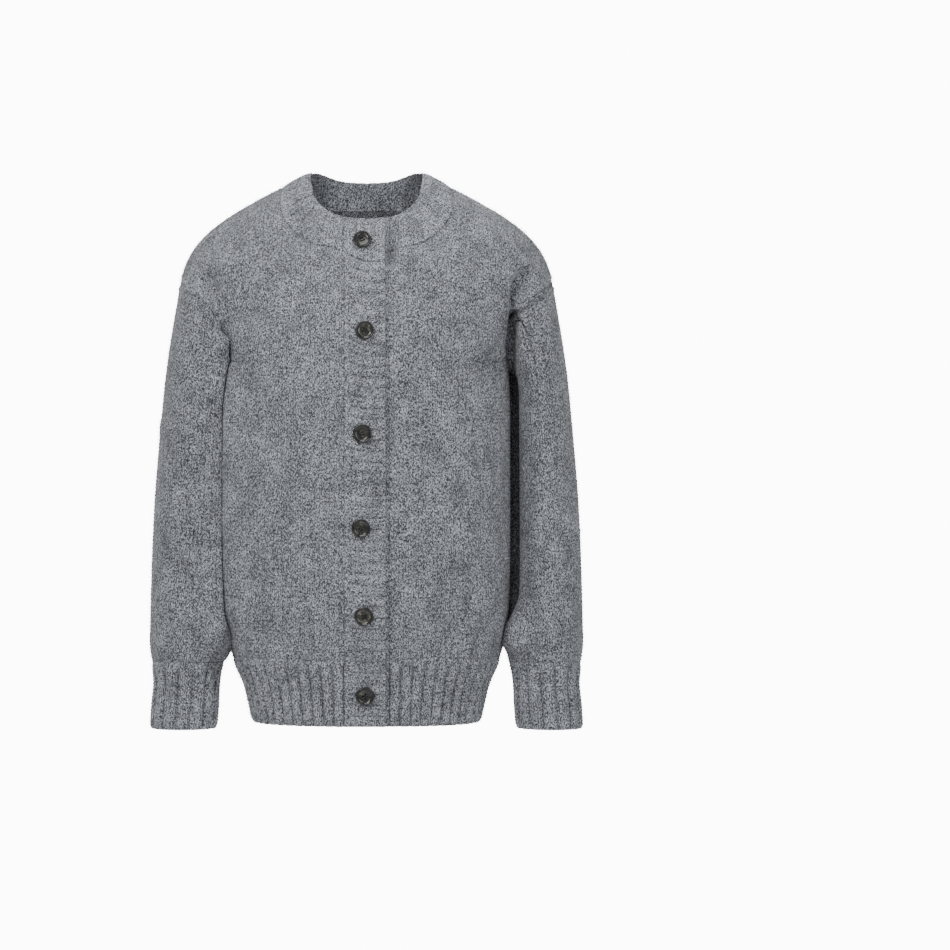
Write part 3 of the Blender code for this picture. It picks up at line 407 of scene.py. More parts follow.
def skin(reach, rise, side):
    """Outer face of the worn cloth and its outward direction; side is 1 left, -1 right.

    reach may be negative, for cloth that crosses the centre line from its own side.
    """
    reach, rise = np.broadcast_arrays(np.asarray(reach, float), np.asarray(rise, float))
    shape = reach.shape
    reach = reach.ravel()
    rise = rise.ravel()
    point = read_map(MAP_POINTS, reach, rise)
    out = unit(read_map(MAP_OUTS, reach, rise))
    hand = side * np.where(reach < 0, -1.0, 1.0)
    point[:, 0] *= hand
    out[:, 0] *= hand
    face = "front" if rise.mean() < TOP_RISE else "back"
    folds = [fold[1:] for fold in BODY_FOLDS if fold[0] == face]
    from_seam = ease((course_length(rise) - np.abs(reach)) / FOLD_FREE)
    facing = ease(np.abs(out[:, 1]) * FACING_GAIN - FACING_START)
    depth = fold_depth(folds, point[:, 0], point[:, 2]) * from_seam * facing * FOLD_GAIN
    creases = [fold[1:] for fold in BODY_CREASES if fold[0] == face]
    depth += fold_depth(creases, point[:, 0], point[:, 2])
    point += out * (depth + side_shape(point, out, hand))[:, None]
    if face == "front":
        point[:, 1] += overlap(reach, point[:, 2], side)
    return point.reshape(shape + (3,)), out.reshape(shape + (3,))


def neck_curve(turn, face, side):
    """Reach and rise of the neck seam; turn below 0 is past the centre line."""
    table = np.array(NECK_FRONT if face == "front" else NECK_BACK, float)
    read = between_rows(table[:, 0], table[:, 1:], np.abs(turn))
    reach = read[:, 0] * np.where(turn < 0, -1.0, 1.0)
    if face == "back":
        return reach, TOP_RISE + read[:, 1]
    drop = read[:, 1]
    if side < 0:
        pulled = (NECK_OVERLAP_REACH - reach) / (NECK_OVERLAP_REACH + 5)
        drop = drop + NECK_OVERLAP_DROP * ease(pulled)
    return reach, TOP_RISE - drop


def neck_turn(reach):
    """The turn at which the front neck seam is this far from the centre line."""
    table = np.array(NECK_FRONT, float)
    turns = np.linspace(0, 1, 201)
    reaches = between_rows(table[:, 0], table[:, 1:], turns)[:, 0]
    return math.copysign(float(np.interp(abs(reach), reaches, turns)), reach)


# columns: height, centre_x, centre_y, half_width, half_depth
SLEEVE = (
    (-240, 200.0, 2, 33.5, 63),
    (-300, 202.9, 3, 36.2, 60),
    (-350, 204.9, 1, 38.2, 57.5),
    (-400, 206.1, -3, 39.4, 55),
    (-450, 206.6, -8, 40.4, 52.5),
    (-500, 205.7, -13, 42.2, 50),
    (-524, 204.3, -15, 43.8, 49),
    (-541, 204.0, -16, 41.6, 45.5),
    (-552, 205.2, -17, 38.9, 42),
    (-565, 205.6, -18, 37.3, 39.5),
    (-590, 207.3, -20, 37.8, 39),
    (-618, 209.2, -22, 37.6, 38.5),
)
CAP_END = -240.0
LEAVE_OUT = 0.17            # how much the sleeve's top leaves the armhole sideways
LEAVE_ASIDE = 0.15          # and how much its front and back spread
CAP_PULL_LOW = 4.0          # length of the cap's first handle at the underarm
CAP_PULL_TOP = 30.0         # and how much longer it is at the top of the arm
HANG_PULL = 0.36            # the cap's last handle, as a share of its height
CUFF_SEAM = -541.0

CAP_ROWS = 40
SLEEVE_ROWS = 90


def ring_degrees(rise):
    """Where a course meets the armhole ring, in degrees."""
    rows = [(row[0], row[4]) for row in (*FRONT_YOKE, SHOULDER, *BACK_YOKE)]
    return np.interp(rise, [row[0] for row in rows], [row[1] for row in rows])


def sleeve_leave(degrees):
    """The way the sleeve leaves the armhole seam."""
    a = np.radians(np.asarray(degrees, float))
    half = np.sin(a / 2) ** 2
    out = LEAVE_OUT + (1 - LEAVE_OUT) * half
    return unit(np.stack((out, -LEAVE_ASIDE * np.sin(a), -np.cos(a / 2)), axis=-1))


def sleeve_ring(height, degrees):
    rows = np.array([row[1:] for row in reversed(SLEEVE)], float)
    knots = np.array([row[0] for row in reversed(SLEEVE)], float)
    centre_x, centre_y, half_width, half_depth = between_rows(knots, rows, np.array([height]))[0]
    a = np.radians(degrees)
    return np.stack((centre_x + half_width * np.cos(a), centre_y - half_depth * np.sin(a),
                     np.full_like(a, height)), axis=-1)


def sleeve_surface(start, degrees):
    """Rings from the armhole seam to the cuff seam, wearer's left."""
    leave = sleeve_leave(degrees)
    end = sleeve_ring(CAP_END, degrees)
    hang = unit(end - sleeve_ring(CAP_END - 8, degrees))
    first = (CAP_PULL_LOW + CAP_PULL_TOP * np.cos(np.radians(degrees) / 2) ** 2)[:, None]
    second = (HANG_PULL * (start[:, 2] - end[:, 2]))[:, None]
    handles = np.stack((start, start + leave * first, end + hang * second, end), axis=1)
    rings = [bezier(handles, np.full(len(degrees), t)) for t in np.linspace(0, 1, CAP_ROWS + 1)]
    for height in np.linspace(CAP_END, CUFF_SEAM, SLEEVE_ROWS + 1)[1:]:
        rings.append(sleeve_ring(height, degrees))
    return np.array(rings)


def tube_directions(rings):
    """Outward unit vectors on closed rings that run down the arm."""
    around = np.roll(rings, -1, axis=1) - np.roll(rings, 1, axis=1)
    down = np.gradient(rings, axis=0)
    return unit(np.cross(around, down))


SEAM_RISES = np.linspace(HEM_SEAM_RISE, TOP_RISE, 400)


def outer_seam(rise, side=1):
    """Points and outward directions where the courses end, a right one turned over to the left."""
    reach = course_length(rise)
    front = rise <= TOP_RISE
    points = np.empty((len(rise), 3))
    outs = np.empty((len(rise), 3))
    for part in (front, ~front):
        if part.any():
            points[part], outs[part] = skin(reach[part], rise[part], side)
    return points * (side, 1, 1), outs * (side, 1, 1)


def seam_directions():
    """The cut edge's direction where two pieces meet, halfway between them, by rise."""
    rise = np.concatenate((SEAM_RISES, 2 * TOP_RISE - SEAM_RISES[-2::-1]))
    points, outs = outer_seam(rise)
    mirrored = unit(outs + outs[::-1])
    armhole = np.abs(rise - TOP_RISE) < TOP_RISE - UNDERARM_RISE
    way = tube_directions(sleeve_surface(points[armhole], ring_degrees(rise[armhole]))[:2])[0]
    outs[armhole] = unit(outs[armhole] + way)
    outs[~armhole] = mirrored[~armhole]
    return rise, outs


SEAM_RISE, SEAM_OUTS = seam_directions()


def seam_direction(rise):
    read = [np.interp(rise, SEAM_RISE, SEAM_OUTS[:, k]) for k in range(3)]
    return unit(np.stack(read, axis=-1))


WALE = 5.5                  # width of a stitch
COURSE = 3.95               # height of a stitch
LEG_RELIEF = 0.8            # how far the legs of a stitch stand above the valleys between them
SEAM_DIP = 1.0              # the cloth is drawn in along an armhole seam
SOFT_DIP = 0.3              # but little where a rib was picked up, or at the flat sides
SEAM_REACH = 3.2
SEAM_RIDGE = 0.9            # its turned edge stands up beside it
RIDGE_AT = 6.0
RIDGE_WIDTH = 2.2
FURROW = 1.7                # with a furrow between the two
FURROW_AT = 2.8
FURROW_WIDTH = 1.5
ARMHOLE_RELIEF = {1: 1.0, -1: 0.2}      # the right armhole's furrow is pressed nearly flat
PAINTED_SEAM_SHADE = 0.6             # painted shade in an armhole seam, in a soft one and in a furrow
PAINTED_SOFT_SEAM_SHADE = 0.85
FURROW_SHADE = 0.9
PAINTED_VALLEY_SHADE = 0.25           # painted shade between stitches; their legs are painted lighter
PAINTED_INNER_TONE = 0.66           # and the painted tone of the plain inner face, set light to lift the shade inside
LADDER_REACH = 112.0        # where the height of the stitches is measured, from the centre
SEAM_TURN = 7.0             # the cloth turns to the direction of a seam over this distance
SOFT_WITHIN = 8.0
INNER_CLEAR = 6.0           # the inner face's few inner points keep this far from the border


def knit(across, rows):
    """A lattice of knit stitches: position in courses of each point, and its relief, 0 to 1.

    A wale has four columns: the valley, a leg, the groove down its middle and the other leg.
    Each stitch is a V, so the rows rise from the middle of a wale to its sides.
    """
    part = (across % 4) / 4.0
    slant = np.abs(2 * part - 1) * 0.5
    along = rows[:, None] / 2.0 + slant[None, :]
    leg = np.where(across % 2 == 1, 1.0, np.where(across % 4 == 2, 0.3, 0.0))
    crest = np.where(rows % 2 == 1, 1.0, 0.35)
    return along, crest[:, None] * leg[None, :]


def furrow_and_ridge(from_seam):
    """The furrow and the turned edge beside an armhole seam, each 0 to 1."""
    return np.array((np.exp(-((from_seam - FURROW_AT) / FURROW_WIDTH) ** 2),
                     np.exp(-((from_seam - RIDGE_AT) / RIDGE_WIDTH) ** 2)))


def course_ladder(face):
    """Height up a panel at even steps of its cloth, measured where most wales reach the top."""
    ups = np.arange(HEM_SEAM_RISE, TOP_RISE + 0.5, 1.0)
    line = read_map(MAP_POINTS, np.full_like(ups, LADDER_REACH), on_face(ups, face))
    return ups, gone_along(line)


def panel_outline(side, face, start, ladder):
    """The border of half a panel, as reach and distance up the cloth, in order round it."""
    ups, gone = ladder
    edge = np.linspace(HEM_SEAM_RISE, TOP_RISE, 420)
    side_line = np.stack((course_length(on_face(edge, face)), np.interp(edge, ups, gone)), axis=1)
    turn = np.linspace(1, neck_turn(start), 220)
    reach, neck_rise = neck_curve(turn, face, side)
    neck = np.stack((reach, np.interp(on_face(neck_rise, face), ups, gone)), axis=1)
    hem = np.stack((np.linspace(start, side_line[0, 0], 240), np.zeros(240)), axis=1)
    shoulder = np.stack((np.linspace(side_line[-1, 0], reach[0], 160),
                         np.full(160, gone[-1])), axis=1)
    down = np.stack((np.full(400, start), np.linspace(neck[-1, 1], 0, 400)), axis=1)
    lines = [hem, side_line, shoulder, neck]
    if face == "front":
        lines.append(down)
    return np.concatenate([line[:-1] for line in lines]), neck


def pull_to_border(places, outside, outline, corner):
    """Move the lattice corners outside a panel onto its border; how far all are from it.

    corner is where the front edge meets the neck.
    """
    apart = np.empty(len(places))
    for part in np.array_split(np.arange(len(places)), 40):
        gap = ((places[part][:, None] - outline[None]) ** 2).sum(axis=2)
        nearest = gap.argmin(axis=1)
        apart[part] = np.sqrt(gap[np.arange(len(part)), nearest])
        out = outside[part]
        past_edge = out & (places[part, 0] <= corner[0])
        places[part[out]] = outline[nearest[out]]
        places[part[past_edge]] = corner
        apart[part[out]] = 0.0
    return apart


def panel_lattice(side, face):
    """Stitch lattice of half a panel, cut to its outline, with its relief and its painted shade."""
    start = 0.0 if face == "back" else -PLACKET_IN
    ups, gone = course_ladder(face)
    outline, neck = panel_outline(side, face, start, (ups, gone))
    column = WALE / 4
    across = np.arange(int(math.ceil((MAP_LENGTHS.max() - start) / column)) + 1)
    rows = np.arange(2 * int(math.ceil(gone[-1] / COURSE)) + 3)
    along, relief = knit(across, rows)
    along *= COURSE
    along[0] = 0.0
    reach = np.broadcast_to(start + across * column, along.shape).copy()
    up = np.interp(along, gone, ups)
    inside = reach <= course_length(on_face(up, face))
    inside &= along <= gone[-1]
    inside &= (reach >= neck[0, 0]) | (along <= np.interp(reach, neck[::-1, 0], neck[::-1, 1]))
    corner = np.arange(inside.size).reshape(inside.shape)
    cells = np.stack((corner[:-1, :-1], corner[:-1, 1:], corner[1:, 1:], corner[1:, :-1]), axis=-1)
    cells = cells.reshape(-1, 4)
    inside = inside.ravel()
    cells = cells[inside[cells].sum(axis=1) >= 2]
    used = np.unique(cells)
    number = np.full(inside.size, -1)
    number[used] = np.arange(len(used))
    places = np.stack((reach.ravel()[used], along.ravel()[used]), axis=1)
    apart = pull_to_border(places, ~inside[used], outline, (start, neck[-1, 1]))
    sparse = ((rows % 8 == 3)[:, None] & (across % 10 == 5)[None, :]).ravel()[used]
    up = np.interp(places[:, 1], gone, ups)
    rise = on_face(up, face)
    points, outs = skin(places[:, 0], rise, side)
    from_side = course_length(rise) - places[:, 0]
    near = (1 - ease(from_side / SEAM_TURN))[:, None]
    outs = unit(outs * (1 - near) + seam_direction(rise) * (side, 1, 1) * near)

    stitch = relief.ravel()[used]
    fade = ease((apart - 0.5) / SEAM_REACH)
    soft = (from_side < SOFT_WITHIN) & (up < UNDERARM_RISE)
    soft |= (up < HEM_SEAM_RISE + SOFT_WITHIN) | (places[:, 0] < start + SOFT_WITHIN)
    furrow, ridge = furrow_and_ridge(from_side) * (up > UNDERARM_RISE)
    furrow *= ARMHOLE_RELIEF[side]
    height = (stitch - 0.5) * LEG_RELIEF * fade - np.where(soft, SOFT_DIP, SEAM_DIP) * (1 - fade)
    height += SEAM_RIDGE * ridge - FURROW * furrow
    # painted shade: darker along the seams and in the armhole furrow, with the stitches' valleys
    # darker than their legs
    painted_seam_tone = np.where(soft, PAINTED_SOFT_SEAM_SHADE, PAINTED_SEAM_SHADE)
    tone = (painted_seam_tone + (1 - painted_seam_tone) * fade) * (1 - FURROW_SHADE * furrow)
    return {"places": places, "points": points, "outs": outs, "height": height,
            "cells": number[cells], "plain": sparse & (apart > INNER_CLEAR),
            "painted_shade": (PAINTED_VALLEY_SHADE + (1 - PAINTED_VALLEY_SHADE) * stitch) * tone}


def join_halves(right, left):
    """The two halves of the back as one sheet."""
    joined = {name: np.concatenate((right[name], left[name])) for name in right}
    joined["places"][:len(right["places"])] *= (-1.0, 1.0)
    joined["cells"][len(right["cells"]):] += len(right["places"])
    return joined


def show(name, data):
    """A new object in the scene."""
    piece = bpy.data.objects.new(name, data)
    bpy.context.scene.collection.objects.link(piece)
    return piece


def add_piece(name, mesh, material):
    """Make an object of a mesh, its faces outward."""
    mesh.normal_update()
    if mesh.calc_volume(signed=True) < 0:
        bmesh.ops.reverse_faces(mesh, faces=mesh.faces)
    data = bpy.data.meshes.new(name)
    mesh.to_mesh(data)
    mesh.free()
    data.shade_smooth()
    data.materials.append(material)
    return show(name, data)


def add_painted_shade(piece, painted_shade, count):
    """Keep the painted shade of each outer point of the knitting, for the wool to read; the inner
    face's points get the painted inner tone.
    """
    layer = piece.data.attributes.new("stitch", "FLOAT", "POINT")
    values = np.full(len(piece.data.vertices), PAINTED_INNER_TONE, dtype=np.float32)
    values[:count] = painted_shade
    layer.data.foreach_set("value", values)


def knitted_panel(name, sheet, material):
    """A closed panel: raised stitches outside, a plain inner face, and its thickness."""
    raised = (sheet["points"] + sheet["outs"] * sheet["height"][:, None]) * MM
    data = bpy.data.meshes.new(name)
    data.from_pydata(raised.tolist(), [], sheet["cells"].tolist())
    mesh = bmesh.new()
    mesh.from_mesh(data)
    bpy.data.meshes.remove(data)
    source = mesh.verts.layers.int.new("source")
    for k, vertex in enumerate(mesh.verts):
        vertex[source] = k
    bmesh.ops.remove_doubles(mesh, verts=mesh.verts, dist=0.03 * MM)
    loose = [vertex for vertex in mesh.verts if not vertex.link_faces]
    bmesh.ops.delete(mesh, geom=loose, context="VERTS")
    loop = border_loop(mesh)
    for k, vertex in enumerate(loop):
        before, after, beyond = loop[k - 1], loop[(k + 1) % len(loop)], loop[(k + 2) % len(loop)]
        places = [sheet["places"][v[source]] for v in (before, vertex, after, beyond)]
        if np.dot(places[2] - places[1], places[3] - places[0]) < 0:
            vertex.co, after.co = after.co.copy(), vertex.co.copy()
            vertex[source], after[source] = after[source], vertex[source]
    inner = sheet["points"] - sheet["outs"] * CLOTH
    inside = np.flatnonzero(sheet["plain"])
    chosen = [vertex[source] for vertex in loop] + inside.tolist()
    flat = [Vector(sheet["places"][k]) for k in chosen]
    cut = delaunay_2d_cdt(flat, [], [list(range(len(loop)))], 1, 1e-5)
    made = {}
    for face in cut[2]:
        corners = [cut[3][k][0] for k in face]
        for k in corners:
            if k not in made:
                made[k] = mesh.verts.new(inner[chosen[k]] * MM)
        mesh.faces.new([made[k] for k in corners])
    for k, vertex in enumerate(loop):
        n = (k + 1) % len(loop)
        mesh.faces.new((vertex, loop[n], made[n], made[k]))
        mesh.edges.get((made[n], made[k])).smooth = False
    bmesh.ops.recalc_face_normals(mesh, faces=mesh.faces)
    outer = [vertex[source] for vertex in mesh.verts][:-len(made)]
    piece = add_piece(name, mesh, material)
    add_painted_shade(piece, sheet["painted_shade"][outer], len(outer))
    return piece


def border_loop(mesh):
    """The border's vertices in order."""
    edges = {edge for edge in mesh.edges if edge.is_boundary}
    start = next(iter(sorted(edges, key=lambda edge: edge.index)))
    loop = [start.verts[0]]
    vertex = start.verts[1]
    last = start
    while vertex != loop[0]:
        loop.append(vertex)
        last = next(edge for edge in vertex.link_edges if edge in edges and edge != last)
        vertex = last.other_vert(vertex)
    return loop


BODY_WOOL = (0.107, 0.112, 0.122)
FLECK_SCALE = 900.0         # flecks of pale and dark fibre
FLECK_TONES = (0.2, 3.3)
CLOUD_SCALE = 48.0          # and clouds where the yarn is mixed unevenly
CLOUD_TONES = (0.72, 1.28)
NAP_DEPTH = 0.0006


def new_material(name, look):
    """A material, its node tree and its shader, which is given the values in look."""
    material = bpy.data.materials.new(name)
    material.use_nodes = True
    shader = material.node_tree.nodes["Principled BSDF"]
    for socket, value in look.items():
        shader.inputs[socket].default_value = value
    return material, material.node_tree, shader


def add_node(tree, kind, sockets, **settings):
    """Add a node; a socket is given a value, or the output that it is linked to."""
    node = tree.nodes.new("ShaderNode" + kind)
    for setting, value in settings.items():
        setattr(node, setting, value)
    for socket, value in sockets.items():
        if isinstance(value, bpy.types.NodeSocket):
            tree.links.new(value, node.inputs[socket])
        else:
            node.inputs[socket].default_value = value
    return node


def tones(tree, value, stops):
    """Turn a value into the colours of the stops, each a position and a colour."""
    node = add_node(tree, "ValToRGB", {"Fac": value})
    elements = node.color_ramp.elements
    for element, (position, colour) in ((elements[0], stops[0]), (elements[1], stops[-1])):
        element.position = position
        element.color = (*colour, 1)
    for position, colour in stops[1:-1]:
        elements.new(position).color = (*colour, 1)
    return node.outputs["Color"]


def multiply(tree, first, second):
    return add_node(tree, "Mix", {"Factor": 1.0, "A": first, "B": second},
                    data_type="RGBA", blend_type="MULTIPLY").outputs["Result"]


def roughen(tree, shader, value, strength, distance):
    bump = add_node(tree, "Bump", {"Strength": strength, "Distance": distance, "Height": value})
    tree.links.new(bump.outputs["Normal"], shader.inputs["Normal"])


def wool(name, colour=BODY_WOOL):
    """Brushed melange wool: pale and dark fibres mixed in the yarn, under a soft nap, with the
    painted shade kept in the stitch attribute.
    """
    material, tree, shader = new_material(name, {
        "Roughness": 0.92, "Specular IOR Level": 0.2, "Sheen Weight": 0.22,
        "Sheen Roughness": 0.55, "Sheen Tint": (0.8, 0.82, 0.86, 1.0)})
    place = add_node(tree, "TexCoord", {}).outputs["Object"]

    def noise(scale, detail, stretch=(1, 1, 1)):
        stretched = add_node(tree, "Mapping", {"Scale": stretch, "Vector": place})
        return add_node(tree, "TexNoise", {
            "Scale": scale, "Detail": detail, "Roughness": 0.6,
            "Vector": stretched.outputs["Vector"]}).outputs["Fac"]

    dark, pale = [[min(1.0, c * tone) for c in colour] for tone in FLECK_TONES]
    flecks = tones(tree, noise(FLECK_SCALE, 3, (1, 1, 0.55)),
                   ((0.4, dark), (0.5, colour), (0.6, pale)))
    low, high = [(tone,) * 3 for tone in CLOUD_TONES]
    clouds = tones(tree, noise(CLOUD_SCALE, 5, (1, 1, 0.7)), ((0.32, low), (0.68, high)))
    # painted shade: the stitch attribute darkens the wool between stitches, in rib furrows and
    # along seams, and lightens it on the stitch legs
    stitch = add_node(tree, "Attribute", {}, attribute_name="stitch").outputs["Fac"]
    depth = tones(tree, stitch, ((0.0, (0.3, 0.3, 0.305)), (PAINTED_VALLEY_SHADE, (0.78, 0.78, 0.79)),
                                 (0.8, (1.18, 1.18, 1.18))))
    # the yarn's flecks and clouds, times that painted shade
    yarn = multiply(tree, multiply(tree, flecks, clouds), depth)
    tree.links.new(yarn, shader.inputs["Base Color"])
    roughen(tree, shader, noise(FLECK_SCALE, 3), 0.55, NAP_DEPTH)
    return material


FIBRE_LENGTHS = (2.5, 6.5)
FIBRE_WIDTH = 0.11          # half the width at the root
FIBRE_LIFTS = (0.15, 0.9)   # how steeply it stands
FIBRE_SPREAD = 0.8
FIBRE_CURL = 0.7


def rising(way, out, lift):
    """Turn what points into the cloth up out of it."""
    return unit(way + out * np.clip(-(way * out).sum(axis=1, keepdims=True), 0, None) * lift)


def add_fuzz(name, points, outs, count, seed, material):
    """Stray fibres of the brushed face: each a tapering curl of three triangles."""
    chance = np.random.default_rng(seed)
    root = chance.integers(0, len(points), count)
    start = points[root] + chance.normal(0, FIBRE_SPREAD, (count, 3))
    out = outs[root]
    aside = unit(chance.normal(0, 1, (count, 3)))
    start -= out * ((start - points[root]) * out).sum(axis=1, keepdims=True)
    length = chance.uniform(*FIBRE_LENGTHS, (count, 1))
    way = rising(unit(out * chance.uniform(*FIBRE_LIFTS, (count, 1)) + aside), out, 1.6)
    curl = rising(unit(way + unit(chance.normal(0, 1, (count, 3))) * FIBRE_CURL), out, 1.4)
    width = unit(np.cross(way, chance.normal(0, 1, (count, 3)))) * FIBRE_WIDTH
    middle = start + way * length * 0.5
    tip = middle + curl * length * 0.5
    corners = np.stack((start - width, start + width, middle + width * 0.8, middle - width * 0.8,
                        tip), axis=1).reshape(-1, 3) * MM
    first = np.arange(count) * 5
    faces = [(k, k + 1, k + 2, k + 3) for k in first.tolist()]
    faces += [(k + 3, k + 2, k + 4) for k in first.tolist()]
    data = bpy.data.meshes.new(name)
    data.from_pydata(corners.tolist(), [], faces)
    data.shade_smooth()
    data.materials.append(material)
    return show(name, data)


FUZZ_SPACING = 10.5         # square millimetres of cloth to each stray fibre


def finish_cloth(piece, node, area, points, outs, seed):
    """Put a piece in its node's place and brush its face, with a stray fibre to each FUZZ_SPACING
    of its area.
    """
    count = int(area * 1e6 / FUZZ_SPACING)
    fuzz = add_fuzz("fibres_" + node, points.reshape(-1, 3), outs.reshape(-1, 3), count, seed,
                    piece.data.materials[0])
    for part in (piece, fuzz):
        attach(part, "root")
    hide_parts(node)


for side, name in ((-1, "front_right"), (1, "front_left")):
    sheet = panel_lattice(side, "front")
    panel = knitted_panel("knit_" + name, sheet, wool(name + "_wool"))
    finish_cloth(panel, name, 0.104, sheet["points"], sheet["outs"], 10 + side)
sheet = join_halves(panel_lattice(-1, "back"), panel_lattice(1, "back"))
panel = knitted_panel("knit_back", sheet, wool("back_wool"))
finish_cloth(panel, "back", 0.239, sheet["points"], sheet["outs"], 12)


# ================================================================ the hem band
# A deep ribbed band round the hips, sewn to the body's lower edge and left free below.  It is
# knitted two wales up, one wale back, and pulls in, so the body blouses over it.
# the body's yarn, painted lighter: painted light on the hem and the plackets
RIB_WOOL_LIGHTENED = (0.12, 0.1255, 0.137)
ROUNDED = (1.1, 0.25)       # how far the first rows at a free edge roll inward
ROLLED = (3.0, 1.6, 0.75, 0.25)         # at the foot of the body and of the sleeves
RIB_HEIGHT = 2.5
RIB_COLUMNS = 12            # three wales to a rib, the last one sunk
RIB_STARTS = 11.0           # ribs rise to their full height over this distance from a seam
BAND_TURN = 9.0             # and a band turns away from its seam's direction over this one
RIB_SHADE = 0.74            # painted shade darkens the wool down in the furrows


def join_lines(lines):
    """Join lines end to end; each is its points and their outward directions."""
    points = [lines[0][0]]
    outs = [lines[0][1]]
    for line in lines[1:]:
        points.append(line[0][1:])
        outs.append(line[1][1:])
    return np.concatenate(points), np.concatenate(outs)


def along_line(points, outs, at):
    """Points and directions at shares of a line's length, on its straight stretches."""
    gone = gone_along(points)
    gone /= gone[-1]
    read = [np.interp(at, gone, values[:, k]) for values in (points, outs) for k in range(3)]
    return np.stack(read[:3], axis=1), np.stack(read[3:], axis=1)


# the quarters of a ring round the body: side, face, and the way that each one is read
QUARTERS = ((-1, "front", 1), (-1, "back", -1), (1, "back", 1), (1, "front", -1))


def hem_line(up, samples):
    """The hem's ring at one height, from the right placket round the back to the left one."""
    lines = []
    for side, face, way in QUARTERS:
        rise = on_face(up, face)
        start = -PLACKET_IN if face == "front" else 0.0
        reach = np.linspace(start, course_length(np.array([rise]))[0], samples)
        lines.append(skin(reach[::way], np.full(samples, rise), side))
    return join_lines(lines)


def rib_profile(part):
    """Height of a rib, -0.5 to 0.5, from the furrow at 0 over its round back."""
    return ease(part / 0.27) * (1 - ease((part - 0.73) / 0.27)) - 0.5


def stitch_places(rings, rows, slant):
    """Places of the stitches' corners on rings that run across the wales."""
    count = (len(rows) - 1) // 2
    step = np.linalg.norm(np.diff(rings, axis=0), axis=2)
    gone = np.concatenate((np.zeros((1, rings.shape[1])), np.cumsum(step, axis=0)))
    room = np.minimum(rows, 2 * count - rows)[:, None] / 2.0
    share = (rows[:, None] / 2.0 + np.minimum(slant, room * 0.5)) / count
    places = np.empty((len(rows), *rings.shape[1:]))
    for c in range(rings.shape[1]):
        for k in range(3):
            places[:, c, k] = np.interp(share[:, c] * gone[-1, c], gone[:, c], rings[:, c, k])
    return places


def outward(places, closed, faces_front):
    """Outward directions on a band: to the front, or away from its middle."""
    if closed:
        run = np.roll(places, -1, axis=1) - np.roll(places, 1, axis=1)
    else:
        run = np.gradient(places, axis=1)
    outs = unit(np.cross(run, np.gradient(places, axis=0)))
    middle = places.mean(axis=(0, 1)) if closed else np.array((0.0, places[..., 1].mean(), 0.0))
    away = -outs[..., 1] if faces_front else ((places - middle) * outs)[..., :2].sum(axis=-1)
    return outs if away.sum() > 0 else -outs


def knitted_band(name, rings, material, rib=RIB_COLUMNS, rib_height=0.0, edges=("sewn", "free"),
                 closed=False, first=None, dips=(SOFT_DIP, SOFT_DIP), rounded=ROUNDED,
                 faces_front=False, seam_relief=1.0):
    """A closed wall from its rings: stitches and ribs outside, the same ribs plainly inside.

    Each ring is (columns, 3) and runs across the wales.  edges tells how the first and the
    last ring end and dips how far each is drawn in; first is the cut edge's direction at the
    first ring; seam_relief is the share of its full furrow that an armhole seam has.
    """
    columns = rings.shape[1]
    length = np.linalg.norm(np.diff(rings, axis=0), axis=2).sum(axis=0).mean()
    rows = np.arange(2 * int(round(length / COURSE)) + 1)
    across = np.arange(columns)
    along, stitch = knit(across, rows)
    places = stitch_places(rings, rows, along - rows[:, None] / 2.0)
    outs = outward(places, closed, faces_front)
    if first is not None:
        near = (1 - ease(rows * COURSE / 2 / BAND_TURN))[:, None, None]
        outs = unit(outs * (1 - near) + first[None] * near)

    fade = np.ones(len(rows))
    rise = np.ones(len(rows))
    dip = np.zeros(len(rows))
    painted_seam_shade = np.ones(len(rows))
    for edge, depth, from_edge in zip(edges, dips, (rows, rows[::-1])):
        if edge == "free":
            for k, rolled in enumerate(rounded):
                dip[from_edge == k] += rolled
            continue
        gap = from_edge * COURSE / 2
        near = ease((gap - 0.5) / SEAM_REACH)
        fade *= near
        rise *= ease(gap / RIB_STARTS)
        dip += depth * (1 - near)
        painted_seam_shade *= PAINTED_SOFT_SEAM_SHADE + (1 - PAINTED_SOFT_SEAM_SHADE) * near
        if depth == SEAM_DIP:
            furrow, ridge = furrow_and_ridge(gap)
            furrow *= seam_relief
            dip += FURROW * furrow - SEAM_RIDGE * ridge
            painted_seam_shade *= 1 - FURROW_SHADE * furrow
    profile = rib_profile((across % rib) / rib)
    ribs = (profile * rib_height)[None, :] * rise[:, None]
    height = (stitch - 0.5) * LEG_RELIEF * fade[:, None] + ribs - dip[:, None]
    if not closed:
        from_side = np.minimum(across, across[::-1])
        for k, depth in enumerate(ROUNDED):
            height[:, from_side == k] -= depth
    outer = places + outs * height[..., None]

    in_rows = list(range(0, len(rows), 4))
    in_rows[-1] = len(rows) - 1
    in_columns = list(range(0, columns, rib // 4 if rib_height else 4))
    if not closed and in_columns[-1] != columns - 1:
        in_columns.append(columns - 1)
    rolled = np.zeros(len(rows))
    for edge, end in zip(edges, (0, -1)):
        if edge == "free":
            rolled[end] = ROUNDED[0]
    inner = places - outs * (CLOTH - ribs[..., None] - rolled[:, None, None])
    piece = band_wall(name, outer, inner[np.ix_(in_rows, in_columns)], in_rows, in_columns,
                      closed, material)
    # painted shade: darker between the stitches, along the seams and in the rib furrows
    painted_shade = (PAINTED_VALLEY_SHADE + (1 - PAINTED_VALLEY_SHADE) * stitch) * painted_seam_shade[:, None]
    if rib_height:
        sunk = (0.5 - profile)[None, :] * rise[:, None] * min(1.0, rib_height / RIB_HEIGHT)
        painted_shade *= 1 - RIB_SHADE * sunk
    add_painted_shade(piece, painted_shade.ravel(), painted_shade.size)
    return piece, outer, outs


